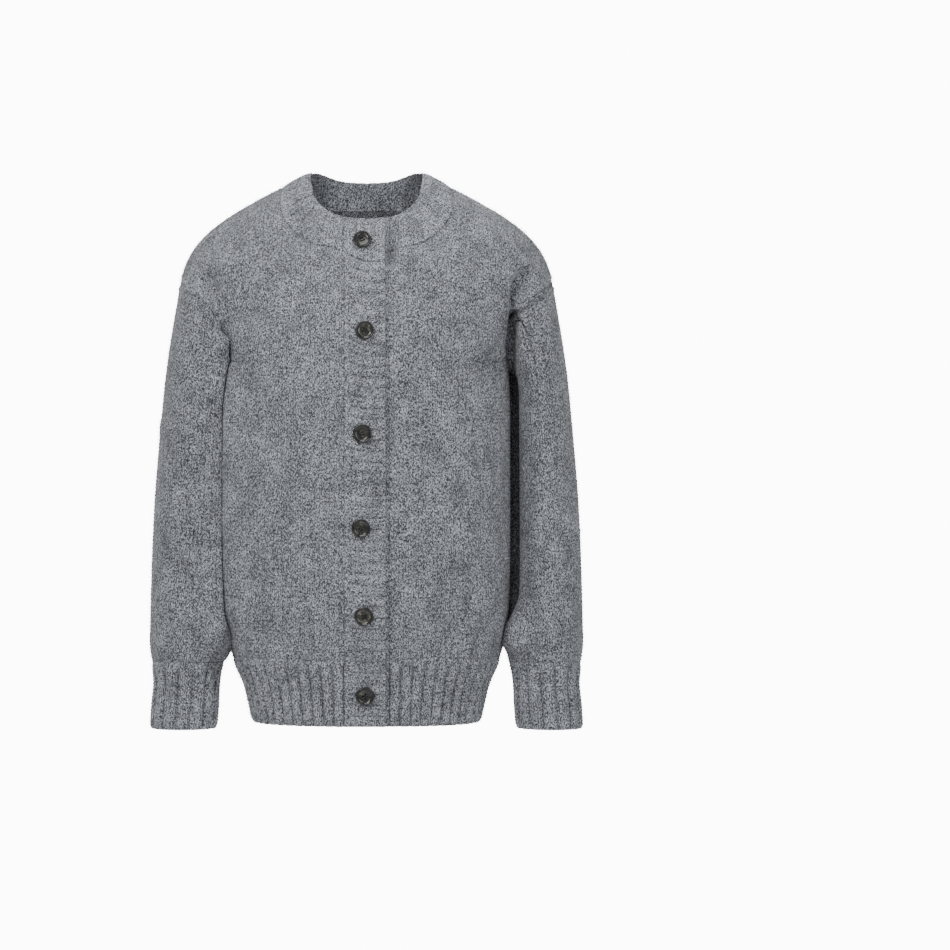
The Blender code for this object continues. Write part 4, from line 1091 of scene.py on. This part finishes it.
def band_wall(name, outer, inner, in_rows, in_columns, closed, material):
    """Join an outer face and a sparser inner one, at its rows and columns, into a closed wall."""
    mesh = bmesh.new()
    rows, columns = outer.shape[:2]
    out = [[mesh.verts.new(point) for point in row] for row in (outer * MM).tolist()]
    into = [[mesh.verts.new(point) for point in row] for row in (inner * MM).tolist()]
    for r in range(rows - 1):
        for c in range(columns if closed else columns - 1):
            d = (c + 1) % columns
            mesh.faces.new((out[r][c], out[r][d], out[r + 1][d], out[r + 1][c]))
    last = len(in_columns) if closed else len(in_columns) - 1
    for r in range(len(in_rows) - 1):
        for c in range(last):
            d = (c + 1) % len(in_columns)
            mesh.faces.new((into[r][d], into[r][c], into[r + 1][c], into[r + 1][d]))
    for c in range(last):
        d = (c + 1) % len(in_columns)
        edge = [k % columns for k in range(in_columns[c], (in_columns[d] if d else columns) + 1)]
        for r, i, turn in ((0, 0, 1), (rows - 1, -1, -1)):
            corners = [out[r][k] for k in edge][::-1] + [into[i][c], into[i][d]]
            mesh.faces.new(corners[::turn])
            mesh.edges.get((into[i][c], into[i][d])).smooth = False
    if not closed:
        for r in range(len(in_rows) - 1):
            for c, i, turn in ((0, 0, 1), (columns - 1, -1, -1)):
                corners = [out[k][c] for k in range(in_rows[r], in_rows[r + 1] + 1)]
                corners += [into[r + 1][i], into[r][i]]
                mesh.faces.new(corners[::turn])
    return add_piece(name, mesh, material)


HEM_RIBS = 58
shares = np.linspace(0, 1, HEM_RIBS * RIB_COLUMNS + 1)
rings = np.array([along_line(*hem_line(rise, 160), shares)[0]
                  for rise in np.linspace(HEM_SEAM_RISE, 0, 24)])
sewn = along_line(*hem_line(HEM_SEAM_RISE, 160), shares)[1]
band, points, outs = knitted_band("knit_hem_band", rings, wool("hem_wool", RIB_WOOL_LIGHTENED),
                                  rib_height=RIB_HEIGHT, first=unit(sewn), rounded=ROLLED)
finish_cloth(band, "hem_band", 0.065, points, outs, 20)

# ================================================================ the plackets
# Two ribbed bands up the front edges, picked up from the fronts, so that their ribs lie across.
# The wearer's right one is on top and has the buttonholes, and its free edge rolls a little.
PLACKET_RIBS = 42
PLACKET_RIB_HEIGHT = 1.5

for side, name in ((-1, "placket_right"), (1, "placket_left")):
    shares = np.linspace(0, 1, PLACKET_RIBS * RIB_COLUMNS + 1)
    rings = []
    for reach in np.linspace(-PLACKET_IN, -PLACKET_OUT, 28):
        top = neck_curve(np.array([neck_turn(reach)]), "front", side)[1][0]
        rings.append(skin(np.full_like(shares, reach), shares * top, side))
    sewn = rings[0][1]
    rings = np.array([points for points, _ in rings])
    band, points, outs = knitted_band("knit_" + name, rings, wool(name + "_wool", RIB_WOOL_LIGHTENED),
                                      rib_height=PLACKET_RIB_HEIGHT, first=sewn,
                                      faces_front=True)
    finish_cloth(band, name, 0.0265, points, outs, 22 + side)

# ================================================================ the neckband
# A narrow ribbed band round a crew neck, one wale up and one back, linked to the neck edge.
# Its two ends overlap at the front above the plackets, under the top button.

# the neckband's rim, by the share of the half ring from centre front to centre back
# columns: share, x, y, z
RIM = (
    (0.0, 0, -62, -38.5),
    (0.075, 25.5, -60, -36),
    (0.14, 38, -54, -31.5),
    (0.22, 49, -44, -24),
    (0.32, 58, -30, -13),
    (0.44, 62.5, -11, 3),
    (0.57, 64.5, 10, 17.5),
    (0.7, 59, 39, 19),
    (0.8, 46, 57, 17),
    (0.9, 25, 68.5, 14.5),
    (1.0, 0, 72.5, 13.5),
)


def neck_rim(seam, stops):
    """The rim's points that lie square across the band from each stop of the seam."""
    gone = gone_along(seam)
    behind = int(np.argmax(seam[:, 1]))
    front_right = np.interp(0.0, -seam[:behind // 2, 0], gone[:behind // 2])
    front_left = np.interp(0.0, -seam[-(behind // 2):, 0], gone[-(behind // 2):])
    at = stops * gone[-1]
    ahead = at < gone[behind]
    share = np.where(ahead, (at - front_right) / (gone[behind] - front_right),
                     (front_left - at) / (front_left - gone[behind]))
    edge = between_rows([row[0] for row in RIM], [row[1:] for row in RIM], np.abs(share))
    reach = edge[:, 0] * np.where(share < 0, -1, 1)
    side = np.where(ahead, -1.0, 1.0)
    lift = ease((OVERLAP_RUN - PLACKET_IN - reach) / OVERLAP_RUN) * (edge[:, 1] < 0)
    edge[:, 0] = reach * side
    edge[:, 1] += side * OVERLAP_LIFT * lift
    return edge


# the body's yarn, painted lighter: painted light on the neckband and inside the neck
NECK_WOOL_LIGHTENED = (0.124, 0.13, 0.141)
NECK_RIBS = 44
NECK_RIB_COLUMNS = 8        # two wales to a rib
NECK_RIB_HEIGHT = 1.25
NECK_ROLL = (1.3, 0.5, 0.15)
NECKBAND_BULGE = 1.2        # roll of the neckband between its seam and its rim
PEAK_RISE = 3.9             # it stands up a little beside the shoulder seams
PEAK_AT = 55.0
PEAK_WIDTHS = (17.0, 26.0)
PEAK_DEPTHS = (-25.0, 5.0)  # from the side of the neck back
DROP_SHARE = 0.6            # and drops a little outside of that
DROP_AT = 64.5
NOTCH = 3.0                 # the lower end sinks in beside the upper one's edge
NOTCH_AT = 30.0
NOTCH_FRONT = -40.0         # only in front of this
SMALL_WIDTH = 5.0           # half the width of the drop and of the notch


def neck_seam():
    """The neck seam from the upper front end, behind the neck, to the lower front end."""
    lines = []
    for side, face, way in QUARTERS:
        first = neck_turn(-PLACKET_OUT) if face == "front" else 0.0
        reach, rise = neck_curve(np.linspace(first, 1, 160)[::way], face, side)
        lines.append(skin(reach if face == "front" else np.abs(reach), rise, side))
    return join_lines(lines)


points, outs = neck_seam()
shares = np.linspace(0, 1, NECK_RIBS * NECK_RIB_COLUMNS + 1)
low, low_out = along_line(points, outs, shares)
rim = neck_rim(points, shares)
band_out = unit(np.cross(rim - low, np.gradient(low + rim, axis=0)))
shares = np.linspace(0, 1, 12)
rings = np.array([low + (rim - low) * s + band_out * NECKBAND_BULGE * math.sin(math.pi * s)
                  for s in shares])
reach = np.abs(rings[..., 0])
stands = np.exp(-((reach - PEAK_AT) / np.where(reach < PEAK_AT, *PEAK_WIDTHS)) ** 2)
stands *= between(rings[..., 1], *PEAK_DEPTHS)
stands -= DROP_SHARE * np.exp(-((reach - DROP_AT) / SMALL_WIDTH) ** 2)
rings[..., 2] += PEAK_RISE * stands * shares[:, None] ** 2
sinks = np.exp(-((rings[..., 0] - NOTCH_AT) / SMALL_WIDTH) ** 2) * (rings[..., 1] < NOTCH_FRONT)
rings[..., 1] += NOTCH * sinks
band, points, outs = knitted_band("knit_neckband", rings, wool("neckband_wool", NECK_WOOL_LIGHTENED),
                                  rib=NECK_RIB_COLUMNS, rib_height=NECK_RIB_HEIGHT,
                                  first=unit(low_out), rounded=NECK_ROLL)
finish_cloth(band, "neckband", 0.027, points, outs, 30)

# ================================================================ the sleeves
# Two plain tubes set to the dropped armhole seams, wide at the elbow and gathered into the
# cuffs, hanging straight down against the body.

# On a sleeve a fold's line is drawn by degrees round it (0 outside, 90 front) and by height.
# columns: side, deg_0, z_0, deg_1, z_1, half_width, depth
SLEEVE_FOLDS = (
    ("right", 20, -268, 95, -305, 13, -3.5),
    ("right", 30, -380, 120, -352, 14, -4.5),
    ("right", 60, -470, 130, -500, 15, -3.5),
    ("right", -60, -330, -130, -352, 15, -4),
    ("right", -70, -455, -20, -490, 15, -3.5),
    ("left", 35, -290, 110, -318, 14, -3.5),
    ("left", 25, -398, 115, -368, 14, -4.5),
    ("left", 40, -498, 110, -470, 15, -3.5),
    ("left", -50, -345, -125, -368, 15, -4),
    ("left", -120, -470, -50, -500, 15, -3.5),
)
ARM_RADIUS = 48.0           # turns degrees round a sleeve into millimetres
CUFF_FREE = 30.0            # folds die out over this height above a cuff seam

SLEEVE_WALES = 52
# Below the underarm a sleeve lies against the body and takes its curve; the wearer's left one
# is pulled open in front, so that a deep hollow shows there.  Each pair of values says where
# a form begins and where it is full.
TOUCH_TOP = {-1: (-146.0, -186.0), 1: (-176.0, -194.0)}
TOUCH_END = {-1: (-550.0, -496.0), 1: (-535.0, -520.0)}
TOUCH_GAP = {-1: -1.2, 1: 0.6}
TOUCH_TURN = {-1: (100.0, 40.0), 1: (66.0, 26.0)}   # degrees from the inner side
RUN_IN = {-1: 12.0, 1: 14.0}            # the contact starts over this much cloth
LEAN = 20.0                 # how far the right sleeve may lean in before it meets the body
# sharper creases below the armholes and at the elbows, as in SLEEVE_FOLDS
SLEEVE_CREASES = (
    ("left", 106, -136, 154, -206, 12, -15),
    ("right", 112, -150, 150, -206, 12, -3),
    ("right", 75, -382, 118, -372, 8, -2.5),
    ("left", 60, -420, 110, -408, 8, -2.5),
    ("left", 70, -520, 20, -512, 8, -2),
)
# the left sleeve's inner side is hollow, and stands a little off the body, above its end
HOLLOW = 9.0
HOLLOW_TURN = 22.0
HOLLOW_END = (-528.0, -462.0)
OPENED = 3.0
OPENED_TURN = (75.0, 45.0)
# beside the front of the left armhole the sleeve dives behind the fold of the body
DIVE = 30.0
DIVE_EDGE = (173.5, 168.5)
DIVE_TURN = (0.0, -14.0)
DIVE_TOP = (-112.0, -126.0)
DIVE_END = (-262.0, -212.0)
DIVE_RUN_IN = 6.0
# in front the right sleeve lies flush with the body
FLUSH = 14.0
FLUSH_AT = -50.0
FLUSH_TURN = 24.0
TRUNK_DEPTHS = np.linspace(-80, 80, 81)
TRUNK_RISES = np.linspace(HEM_SEAM_RISE, UNDERARM_RISE + 25, 70)
# the body's yarn, painted darker on the sleeves as painted shade, and a little lighter on the cuffs
# as painted light
SLEEVE_WOOL_SHADED = (0.097, 0.1013, 0.1105)
CUFF_WOOL_LIGHTENED = (0.112, 0.117, 0.128)
CUFF_RIBS = 14
CUFF_EDGE = -618.0


def trunk_reaches(side):
    """How far out the trunk's face is, at each of TRUNK_DEPTHS, for a ladder of heights."""
    heights = []
    reaches = []
    for rise in TRUNK_RISES:
        length = course_length(np.array([rise]))[0]
        reach = np.linspace(length - 100, length, 60)
        front = skin(reach, rise, side)[0]
        back = skin(reach, 2 * TOP_RISE - rise, side)[0]
        line = np.concatenate((front, back[::-1]))
        heights.append(line[:, 2].mean())
        reaches.append(np.interp(TRUNK_DEPTHS, line[:, 1], line[:, 0] * side))
    return np.array(heights), np.array(reaches)


def trunk_beside(rings, side):
    """How far out the trunk's face is beside each point of a sleeve."""
    heights, reaches = trunk_reaches(side)
    height = np.clip(rings[..., 2], heights[0], heights[-1])
    row = np.clip(np.searchsorted(heights, height) - 1, 0, len(heights) - 2)
    up = (height - heights[row]) / (heights[row + 1] - heights[row])
    place = np.interp(rings[..., 1], TRUNK_DEPTHS, np.arange(len(TRUNK_DEPTHS)))
    column = np.minimum(place.astype(int), len(TRUNK_DEPTHS) - 2)
    back = place - column
    low = reaches[row, column] * (1 - back) + reaches[row, column + 1] * back
    high = reaches[row + 1, column] * (1 - back) + reaches[row + 1, column + 1] * back
    return low * (1 - up) + high * up


def lean_on_body(rings, run, degrees, side):
    """Bring a sleeve's inner side to the trunk, in the frame of the wearer's left sleeve.

    run is how far each point is down the cloth from the armhole seam.
    """
    height = rings[..., 2]
    trunk = trunk_beside(rings, side) + TOUCH_GAP[side]
    from_inner = np.broadcast_to(degrees % 360.0 - 180.0, height.shape)
    touch = between(np.abs(from_inner), *TOUCH_TURN[side])
    meets = between(height, *TOUCH_TOP[side]) * between(height, *TOUCH_END[side])
    moved = rings.copy()
    if side > 0:
        free = between(height, *HOLLOW_END)
        touch *= np.clip(ease(from_inner / 20.0) + 1.6 * (1 - free), 0, 1)
        opens = meets * ease(run / RUN_IN[side]) * free
        moved[..., 0] += HOLLOW * np.exp(-((from_inner - 2) / HOLLOW_TURN) ** 2) * opens
        moved[..., 0] += OPENED * between(np.abs(from_inner), *OPENED_TURN) * opens
        dives = between(moved[..., 0], *DIVE_EDGE) * between(from_inner, *DIVE_TURN)
        dives *= between(height, *DIVE_TOP) * between(height, *DIVE_END)
        moved[..., 1] += DIVE * dives * ease(run / DIVE_RUN_IN)
        moved[..., 0] -= np.clip(moved[..., 0] - trunk, 0, None) * touch * meets
    else:
        meets *= ease(run / RUN_IN[side])
        moved[..., 1] -= FLUSH * np.exp(-((from_inner - FLUSH_AT) / FLUSH_TURN) ** 2) * meets
        apart = np.clip(moved[..., 0] - trunk, 0, None)
        moved[..., 0] -= np.minimum(LEAN * touch * meets, apart)
    return moved


def sleeve_folds(table, name, around, height):
    """Depth of a table's folds on one sleeve."""
    lines = [(math.radians(deg_0) * ARM_RADIUS, z_0, math.radians(deg_1) * ARM_RADIUS, z_1,
              half_width, depth)
             for side, deg_0, z_0, deg_1, z_1, half_width, depth in table
             if "sleeve_" + side == name]
    return fold_depth(lines, around, height)


for side, name in ((-1, "sleeve_right"), (1, "sleeve_left")):
    rise = np.linspace(UNDERARM_RISE, 2 * TOP_RISE - UNDERARM_RISE, 361)[:-1]
    degrees = ring_degrees(rise)
    rings = sleeve_surface(outer_seam(rise, side)[0], degrees)
    plain = np.concatenate((rings, rings[:, :1]), axis=1)
    around = np.broadcast_to(np.radians(degrees) * ARM_RADIUS, rings.shape[:2])
    height = rings[..., 2]
    run = np.linalg.norm(np.diff(rings, axis=0, prepend=rings[:1]), axis=2).cumsum(axis=0)
    depth = sleeve_folds(SLEEVE_FOLDS, name, around, height)
    depth += sleeve_folds(SLEEVE_CREASES, name, around, height) * ease(run / 9)
    depth *= ease((height - CUFF_SEAM) / CUFF_FREE)
    folded = rings + tube_directions(rings) * depth[..., None]
    run = np.linalg.norm(np.diff(folded, axis=0, prepend=folded[:1]), axis=2).cumsum(axis=0)
    worn = lean_on_body(folded, run, degrees, side) * (side, 1, 1)
    worn = np.concatenate((worn, worn[:, :1]), axis=1)
    # the wales run where they would on the plain tube
    shares = np.linspace(0, 1, 4 * SLEEVE_WALES + 1)
    rings = []
    for even, ring in zip(plain, worn):
        gone = gone_along(even)
        gone /= gone[-1]
        rings.append(np.stack([np.interp(shares[:-1], gone, ring[:, k]) for k in range(3)], axis=1))
    ways = seam_direction(rise) * (side, 1, 1)
    sewn = along_line(plain[0], np.concatenate((ways, ways[:1])), shares)[1][:-1]
    tube, points, outs = knitted_band("knit_" + name, np.array(rings),
                                      wool(name + "_wool", SLEEVE_WOOL_SHADED),
                                      edges=("sewn", "sewn"), closed=True, first=unit(sewn),
                                      dips=(SEAM_DIP, SOFT_DIP),
                                      seam_relief=ARMHOLE_RELIEF[side])
    finish_cloth(tube, name, 0.113, points, outs, 40 + side)

# ================================================================ the cuffs
# Ribbed cuffs in the same rib as the hem, sewn to the gathered ends of the sleeves.
for side, name in ((-1, "cuff_right"), (1, "cuff_left")):
    degrees = np.linspace(0, 360, CUFF_RIBS * RIB_COLUMNS + 1)[:-1]
    rings = [sleeve_ring(height, degrees) for height in np.linspace(CUFF_SEAM, CUFF_EDGE, 22)]
    rings = np.array(rings)
    rings[..., 0] *= side
    band, points, outs = knitted_band("knit_" + name, rings, wool(name + "_wool", CUFF_WOOL_LIGHTENED),
                                      rib_height=RIB_HEIGHT, closed=True, rounded=ROLLED)
    finish_cloth(band, name, 0.0192, points, outs, 50 + side)

# ================================================================ the buttons
# Six turned buttons of dark horn with a raised rim, a dished face and four holes close
# together, sewn through the lower placket with dark thread; the top one is on the neckband.
HORN_SIDES = 56
# the turned half section from the back round the rim to the face: radius, height
HORN_PROFILE = (
    (6.4, 0.1),
    (8.6, 0.5),
    (9.9, 1.3),
    (10.45, 2.1),
    (10.5, 2.7),
    (10.25, 3.25),
    (9.8, 3.55),
    (9.3, 3.6),
    (8.75, 3.4),
    (8.2, 2.75),
    (7.5, 2.15),
    (6.4, 1.8),
    (4.8, 1.66),
    (3.9, 1.62),
)
HOLE_RADIUS = 1.1
HOLE_OFFSET = 2.15
BROKEN_EDGE = 0.16
THREAD = 0.42               # radius of a bar of thread
THREAD_HEIGHT = 1.85
BAR_STEPS = 8
BAR_BOW = 0.35
BAR_DIP = 1.6               # its ends go down into the holes
# how each one lies: its lean to the side and up, and its turn on its stem, in degrees
BUTTON_TURNS = (
    (4, 24, 28),
    (3, 4, 75),
    (-3, 3, 12),
    (2, -3, 52),
    (-4, -4, 96),
    (3, -6, 40),
)
BLACK_HORN = (0.003, 0.003, 0.003)
OLIVE_HORN = (0.026, 0.025, 0.021)
BROWN_HORN = (0.17, 0.145, 0.115)
RIM_STARTS = 0.0070         # the rim is plain black from here out, in metres
RIM_ENDS = 0.0084


def horn(name, place):
    """Polished dark horn, nearly black at the rim, with brown and olive clouds in its face."""
    material, tree, shader = new_material(name, {
        "Roughness": 0.16, "Specular IOR Level": 0.4, "Coat Weight": 0.15, "Coat Roughness": 0.06})
    where = add_node(tree, "TexCoord", {}).outputs["Object"]
    centre = add_node(tree, "Mapping", {"Location": [-value for value in place], "Vector": where})
    centre = centre.outputs["Vector"]
    clouds = add_node(tree, "TexNoise", {
        "Scale": 130, "Detail": 4, "Roughness": 0.55, "Distortion": 1.1,
        "W": place[0] * 900 + place[2] * 310, "Vector": centre}, noise_dimensions="4D")
    clouds = clouds.outputs["Fac"]
    face = tones(tree, clouds, ((0.42, BLACK_HORN), (0.56, OLIVE_HORN), (0.68, BROWN_HORN)))
    reach = add_node(tree, "VectorMath", {0: centre}, operation="LENGTH").outputs["Value"]
    rim = add_node(tree, "MapRange", {"From Min": RIM_STARTS, "From Max": RIM_ENDS, "Value": reach},
                   interpolation_type="SMOOTHSTEP").outputs["Result"]
    mixed = add_node(tree, "Mix", {"Factor": rim, "A": face, "B": (*BLACK_HORN, 1)},
                     data_type="RGBA")
    tree.links.new(mixed.outputs["Result"], shader.inputs["Base Color"])
    roughen(tree, shader, clouds, 0.12, 0.0002)
    return material


def deselect():
    bpy.ops.object.select_all(action="DESELECT")


def pick(piece):
    deselect()
    piece.select_set(True)
    bpy.context.view_layer.objects.active = piece


def holes():
    """Places of the four holes, x and y."""
    turns = [math.pi / 2 * (k + 0.5) for k in range(4)]
    return [(HOLE_OFFSET * MM * math.cos(turn), HOLE_OFFSET * MM * math.sin(turn))
            for turn in turns]


def turned_disc():
    """A turned disc, drawn ring by ring from the middle of its back round to its face."""
    deselect()
    radius, height = HORN_PROFILE[0]
    bpy.ops.mesh.primitive_circle_add(vertices=HORN_SIDES, fill_type="NGON",
                                      radius=radius * MM, location=(0, 0, height * MM))
    disc = bpy.context.object
    bpy.ops.object.mode_set(mode="EDIT")
    bpy.ops.mesh.select_all(action="SELECT")
    for wider, higher in HORN_PROFILE[1:]:
        lift = (0, 0, (higher - height) * MM)
        bpy.ops.mesh.extrude_region_move(TRANSFORM_OT_translate={"value": lift})
        bpy.ops.transform.resize(value=(wider / radius, wider / radius, 1),
                                 center_override=(0, 0, 0))
        radius, height = wider, higher
    bpy.ops.mesh.select_all(action="SELECT")
    bpy.ops.mesh.normals_make_consistent(inside=False)
    bpy.ops.object.mode_set(mode="OBJECT")
    bpy.ops.object.transform_apply(location=True, rotation=False, scale=False)
    return disc


def drill_holes(disc):
    """Four holes close together, their edges broken a little."""
    for x, y in holes():
        deselect()
        bpy.ops.mesh.primitive_cylinder_add(vertices=18, radius=HOLE_RADIUS * MM, depth=9 * MM,
                                            location=(x, y, 0))
        drill = bpy.context.object
        cut = disc.modifiers.new("hole", "BOOLEAN")
        cut.object = drill
        cut.operation = "DIFFERENCE"
        pick(disc)
        bpy.ops.object.modifier_apply(modifier="hole")
        bpy.data.objects.remove(drill, do_unlink=True)
    edges = disc.modifiers.new("broken_edges", "BEVEL")
    edges.width = BROKEN_EDGE * MM
    edges.segments = 2
    edges.limit_method = "ANGLE"
    edges.angle_limit = math.radians(50)
    bpy.ops.object.modifier_apply(modifier="broken_edges")


def thread_bar(start, end):
    """A bar of thread from one hole to the next, bowed a little over the face."""
    deselect()
    bpy.ops.mesh.primitive_cylinder_add(vertices=8, radius=THREAD * MM, depth=MM)
    bar = bpy.context.object
    bpy.ops.object.mode_set(mode="EDIT")
    mesh = bmesh.from_edit_mesh(bar.data)
    bpy.ops.mesh.select_all(action="SELECT")
    bpy.ops.transform.resize(value=(1, 1, 0.01), center_override=(0, 0, 0))
    for face in mesh.faces:
        face.select_set(face.normal.z > 0.9)
    mesh.select_flush_mode()
    bmesh.update_edit_mesh(bar.data)
    for _ in range(BAR_STEPS):
        bpy.ops.mesh.extrude_region_move(TRANSFORM_OT_translate={"value": (0, 0, MM)})
    bpy.ops.object.mode_set(mode="OBJECT")
    run = Vector(end) - Vector(start)
    for vertex in bar.data.vertices:
        share = vertex.co.z / (BAR_STEPS * MM)
        aside = Vector((-run.y, run.x, 0)).normalized() * vertex.co.x
        bow = (1 - (2 * share - 1) ** 4) * BAR_BOW * MM
        dip = abs(2 * share - 1) ** 3 * BAR_DIP * MM
        lift = vertex.co.y
        vertex.co = Vector(start) + run * share + aside
        vertex.co.z += bow - dip + lift
    bpy.context.view_layer.objects.active = bar
    bpy.ops.object.mode_set(mode="EDIT")
    bpy.ops.mesh.select_all(action="SELECT")
    bpy.ops.mesh.normals_make_consistent(inside=False)
    bpy.ops.object.mode_set(mode="OBJECT")
    bar.data.shade_smooth()
    return bar


def turn_over(piece, turn):
    """Turn a piece about the middle of the bench."""
    pick(piece)
    piece.rotation_euler = [math.radians(angle) for angle in turn]
    bpy.ops.object.transform_apply(location=True, rotation=True, scale=True)


model = turned_disc()
drill_holes(model)
pick(model)
bpy.ops.object.shade_smooth_by_angle(angle=math.radians(38))
corners = [(x, y, THREAD_HEIGHT * MM) for x, y in holes()]
model_thread = thread_bar(corners[0], corners[1])
other_bar = thread_bar(corners[3], corners[2])
pick(model_thread)
other_bar.select_set(True)
bpy.ops.object.join()

thread, tree, shader = new_material("black_thread", {"Base Color": (0.012, 0.012, 0.013, 1),
                                                     "Roughness": 0.8})
place = add_node(tree, "TexCoord", {}).outputs["Object"]
twist = add_node(tree, "TexNoise", {"Scale": 3000, "Vector": place}).outputs["Fac"]
roughen(tree, shader, twist, 0.6, 0.0001)

for number, (lean_side, lean_up, spin) in enumerate(BUTTON_TURNS, 1):
    node = "button_%d" % number
    button = show("horn_" + node, model.data.copy())
    stitches = show("button_thread_%d" % number, model_thread.data.copy())
    for piece in (button, stitches):
        turn_over(piece, (0, 0, spin))
        turn_over(piece, (90 - lean_up, 0, lean_side))
    low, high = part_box(node)
    centre = Vector([(low[k] + high[k]) / 2 for k in range(3)])
    laid = np.array([vertex.co for vertex in button.data.vertices])
    shift = centre - Vector((laid.min(axis=0) + laid.max(axis=0)) / 2)
    for piece, material in ((button, horn("horn_%d" % number, tuple(centre))), (stitches, thread)):
        for vertex in piece.data.vertices:
            vertex.co += shift
        piece.data.materials.clear()
        piece.data.materials.append(material)
        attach(piece, "root")
    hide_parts(node)
bpy.data.objects.remove(model, do_unlink=True)
bpy.data.objects.remove(model_thread, do_unlink=True)

# ================================================================ the studio
# A pale floor well below the worn garment, a white surround, and three large soft lights: the
# key from the upper left, a fill from the right and one above.  The camera stands level, in
# front, and its frame is shifted sideways.
FLOOR_Z = -1.42
FLOOR_SIZE = 7.0
# columns: name, place, height aimed at, size, power
LIGHTS = (
    ("key", (-1.35, -2.8, 1.6), -0.3, 1.2, 66),
    ("fill", (1.9, -2.8, 0.5), -0.3, 1.8, 36),
    ("top", (-0.3, -0.9, 2.3), -0.2, 1.6, 46),
)
SURROUND_LIGHT = 0.68
SURROUND_SEEN = 12.0
CAMERA_PLACE = (0, -3.8, -0.3289)
LENS = 125.2
LENS_SHIFT = 0.1142

deselect()
bpy.ops.mesh.primitive_plane_add(size=FLOOR_SIZE, location=(0, 0, FLOOR_Z))
floor = bpy.context.object
floor.name = "pale_floor"
floor.data.materials.append(new_material("pale_floor", {
    "Base Color": (0.88, 0.88, 0.88, 1), "Roughness": 0.9, "Specular IOR Level": 0.1})[0])

for name, place, aim_z, size, power in LIGHTS:
    data = bpy.data.lights.new(name, "AREA")
    data.shape = "SQUARE"
    data.size = size
    data.energy = power
    light = show(name, data)
    light.location = place
    aim = Vector((0, 0, aim_z)) - Vector(place)
    light.rotation_euler = aim.to_track_quat("-Z", "Y").to_euler()

studio = bpy.data.worlds.new("studio")
bpy.context.scene.world = studio
studio.use_nodes = True
tree = studio.node_tree
surround = tree.nodes["Background"]
surround.inputs["Color"].default_value = (1, 1, 1, 1)
surround.inputs["Strength"].default_value = SURROUND_LIGHT
white = add_node(tree, "Background", {"Color": (1, 1, 1, 1), "Strength": SURROUND_SEEN})
seen = add_node(tree, "LightPath", {}).outputs["Is Camera Ray"]
either = add_node(tree, "MixShader", {"Fac": seen, 1: surround.outputs["Background"],
                                      2: white.outputs["Background"]})
tree.links.new(either.outputs["Shader"], tree.nodes["World Output"].inputs["Surface"])

lens = bpy.data.cameras.new("camera")
lens.lens = LENS
lens.sensor_width = 36
lens.shift_x = LENS_SHIFT
lens.dof.use_dof = False
camera = show("camera", lens)
camera.location = CAMERA_PLACE
camera.rotation_euler = (math.radians(90), 0, 0)
bpy.context.scene.camera = camera
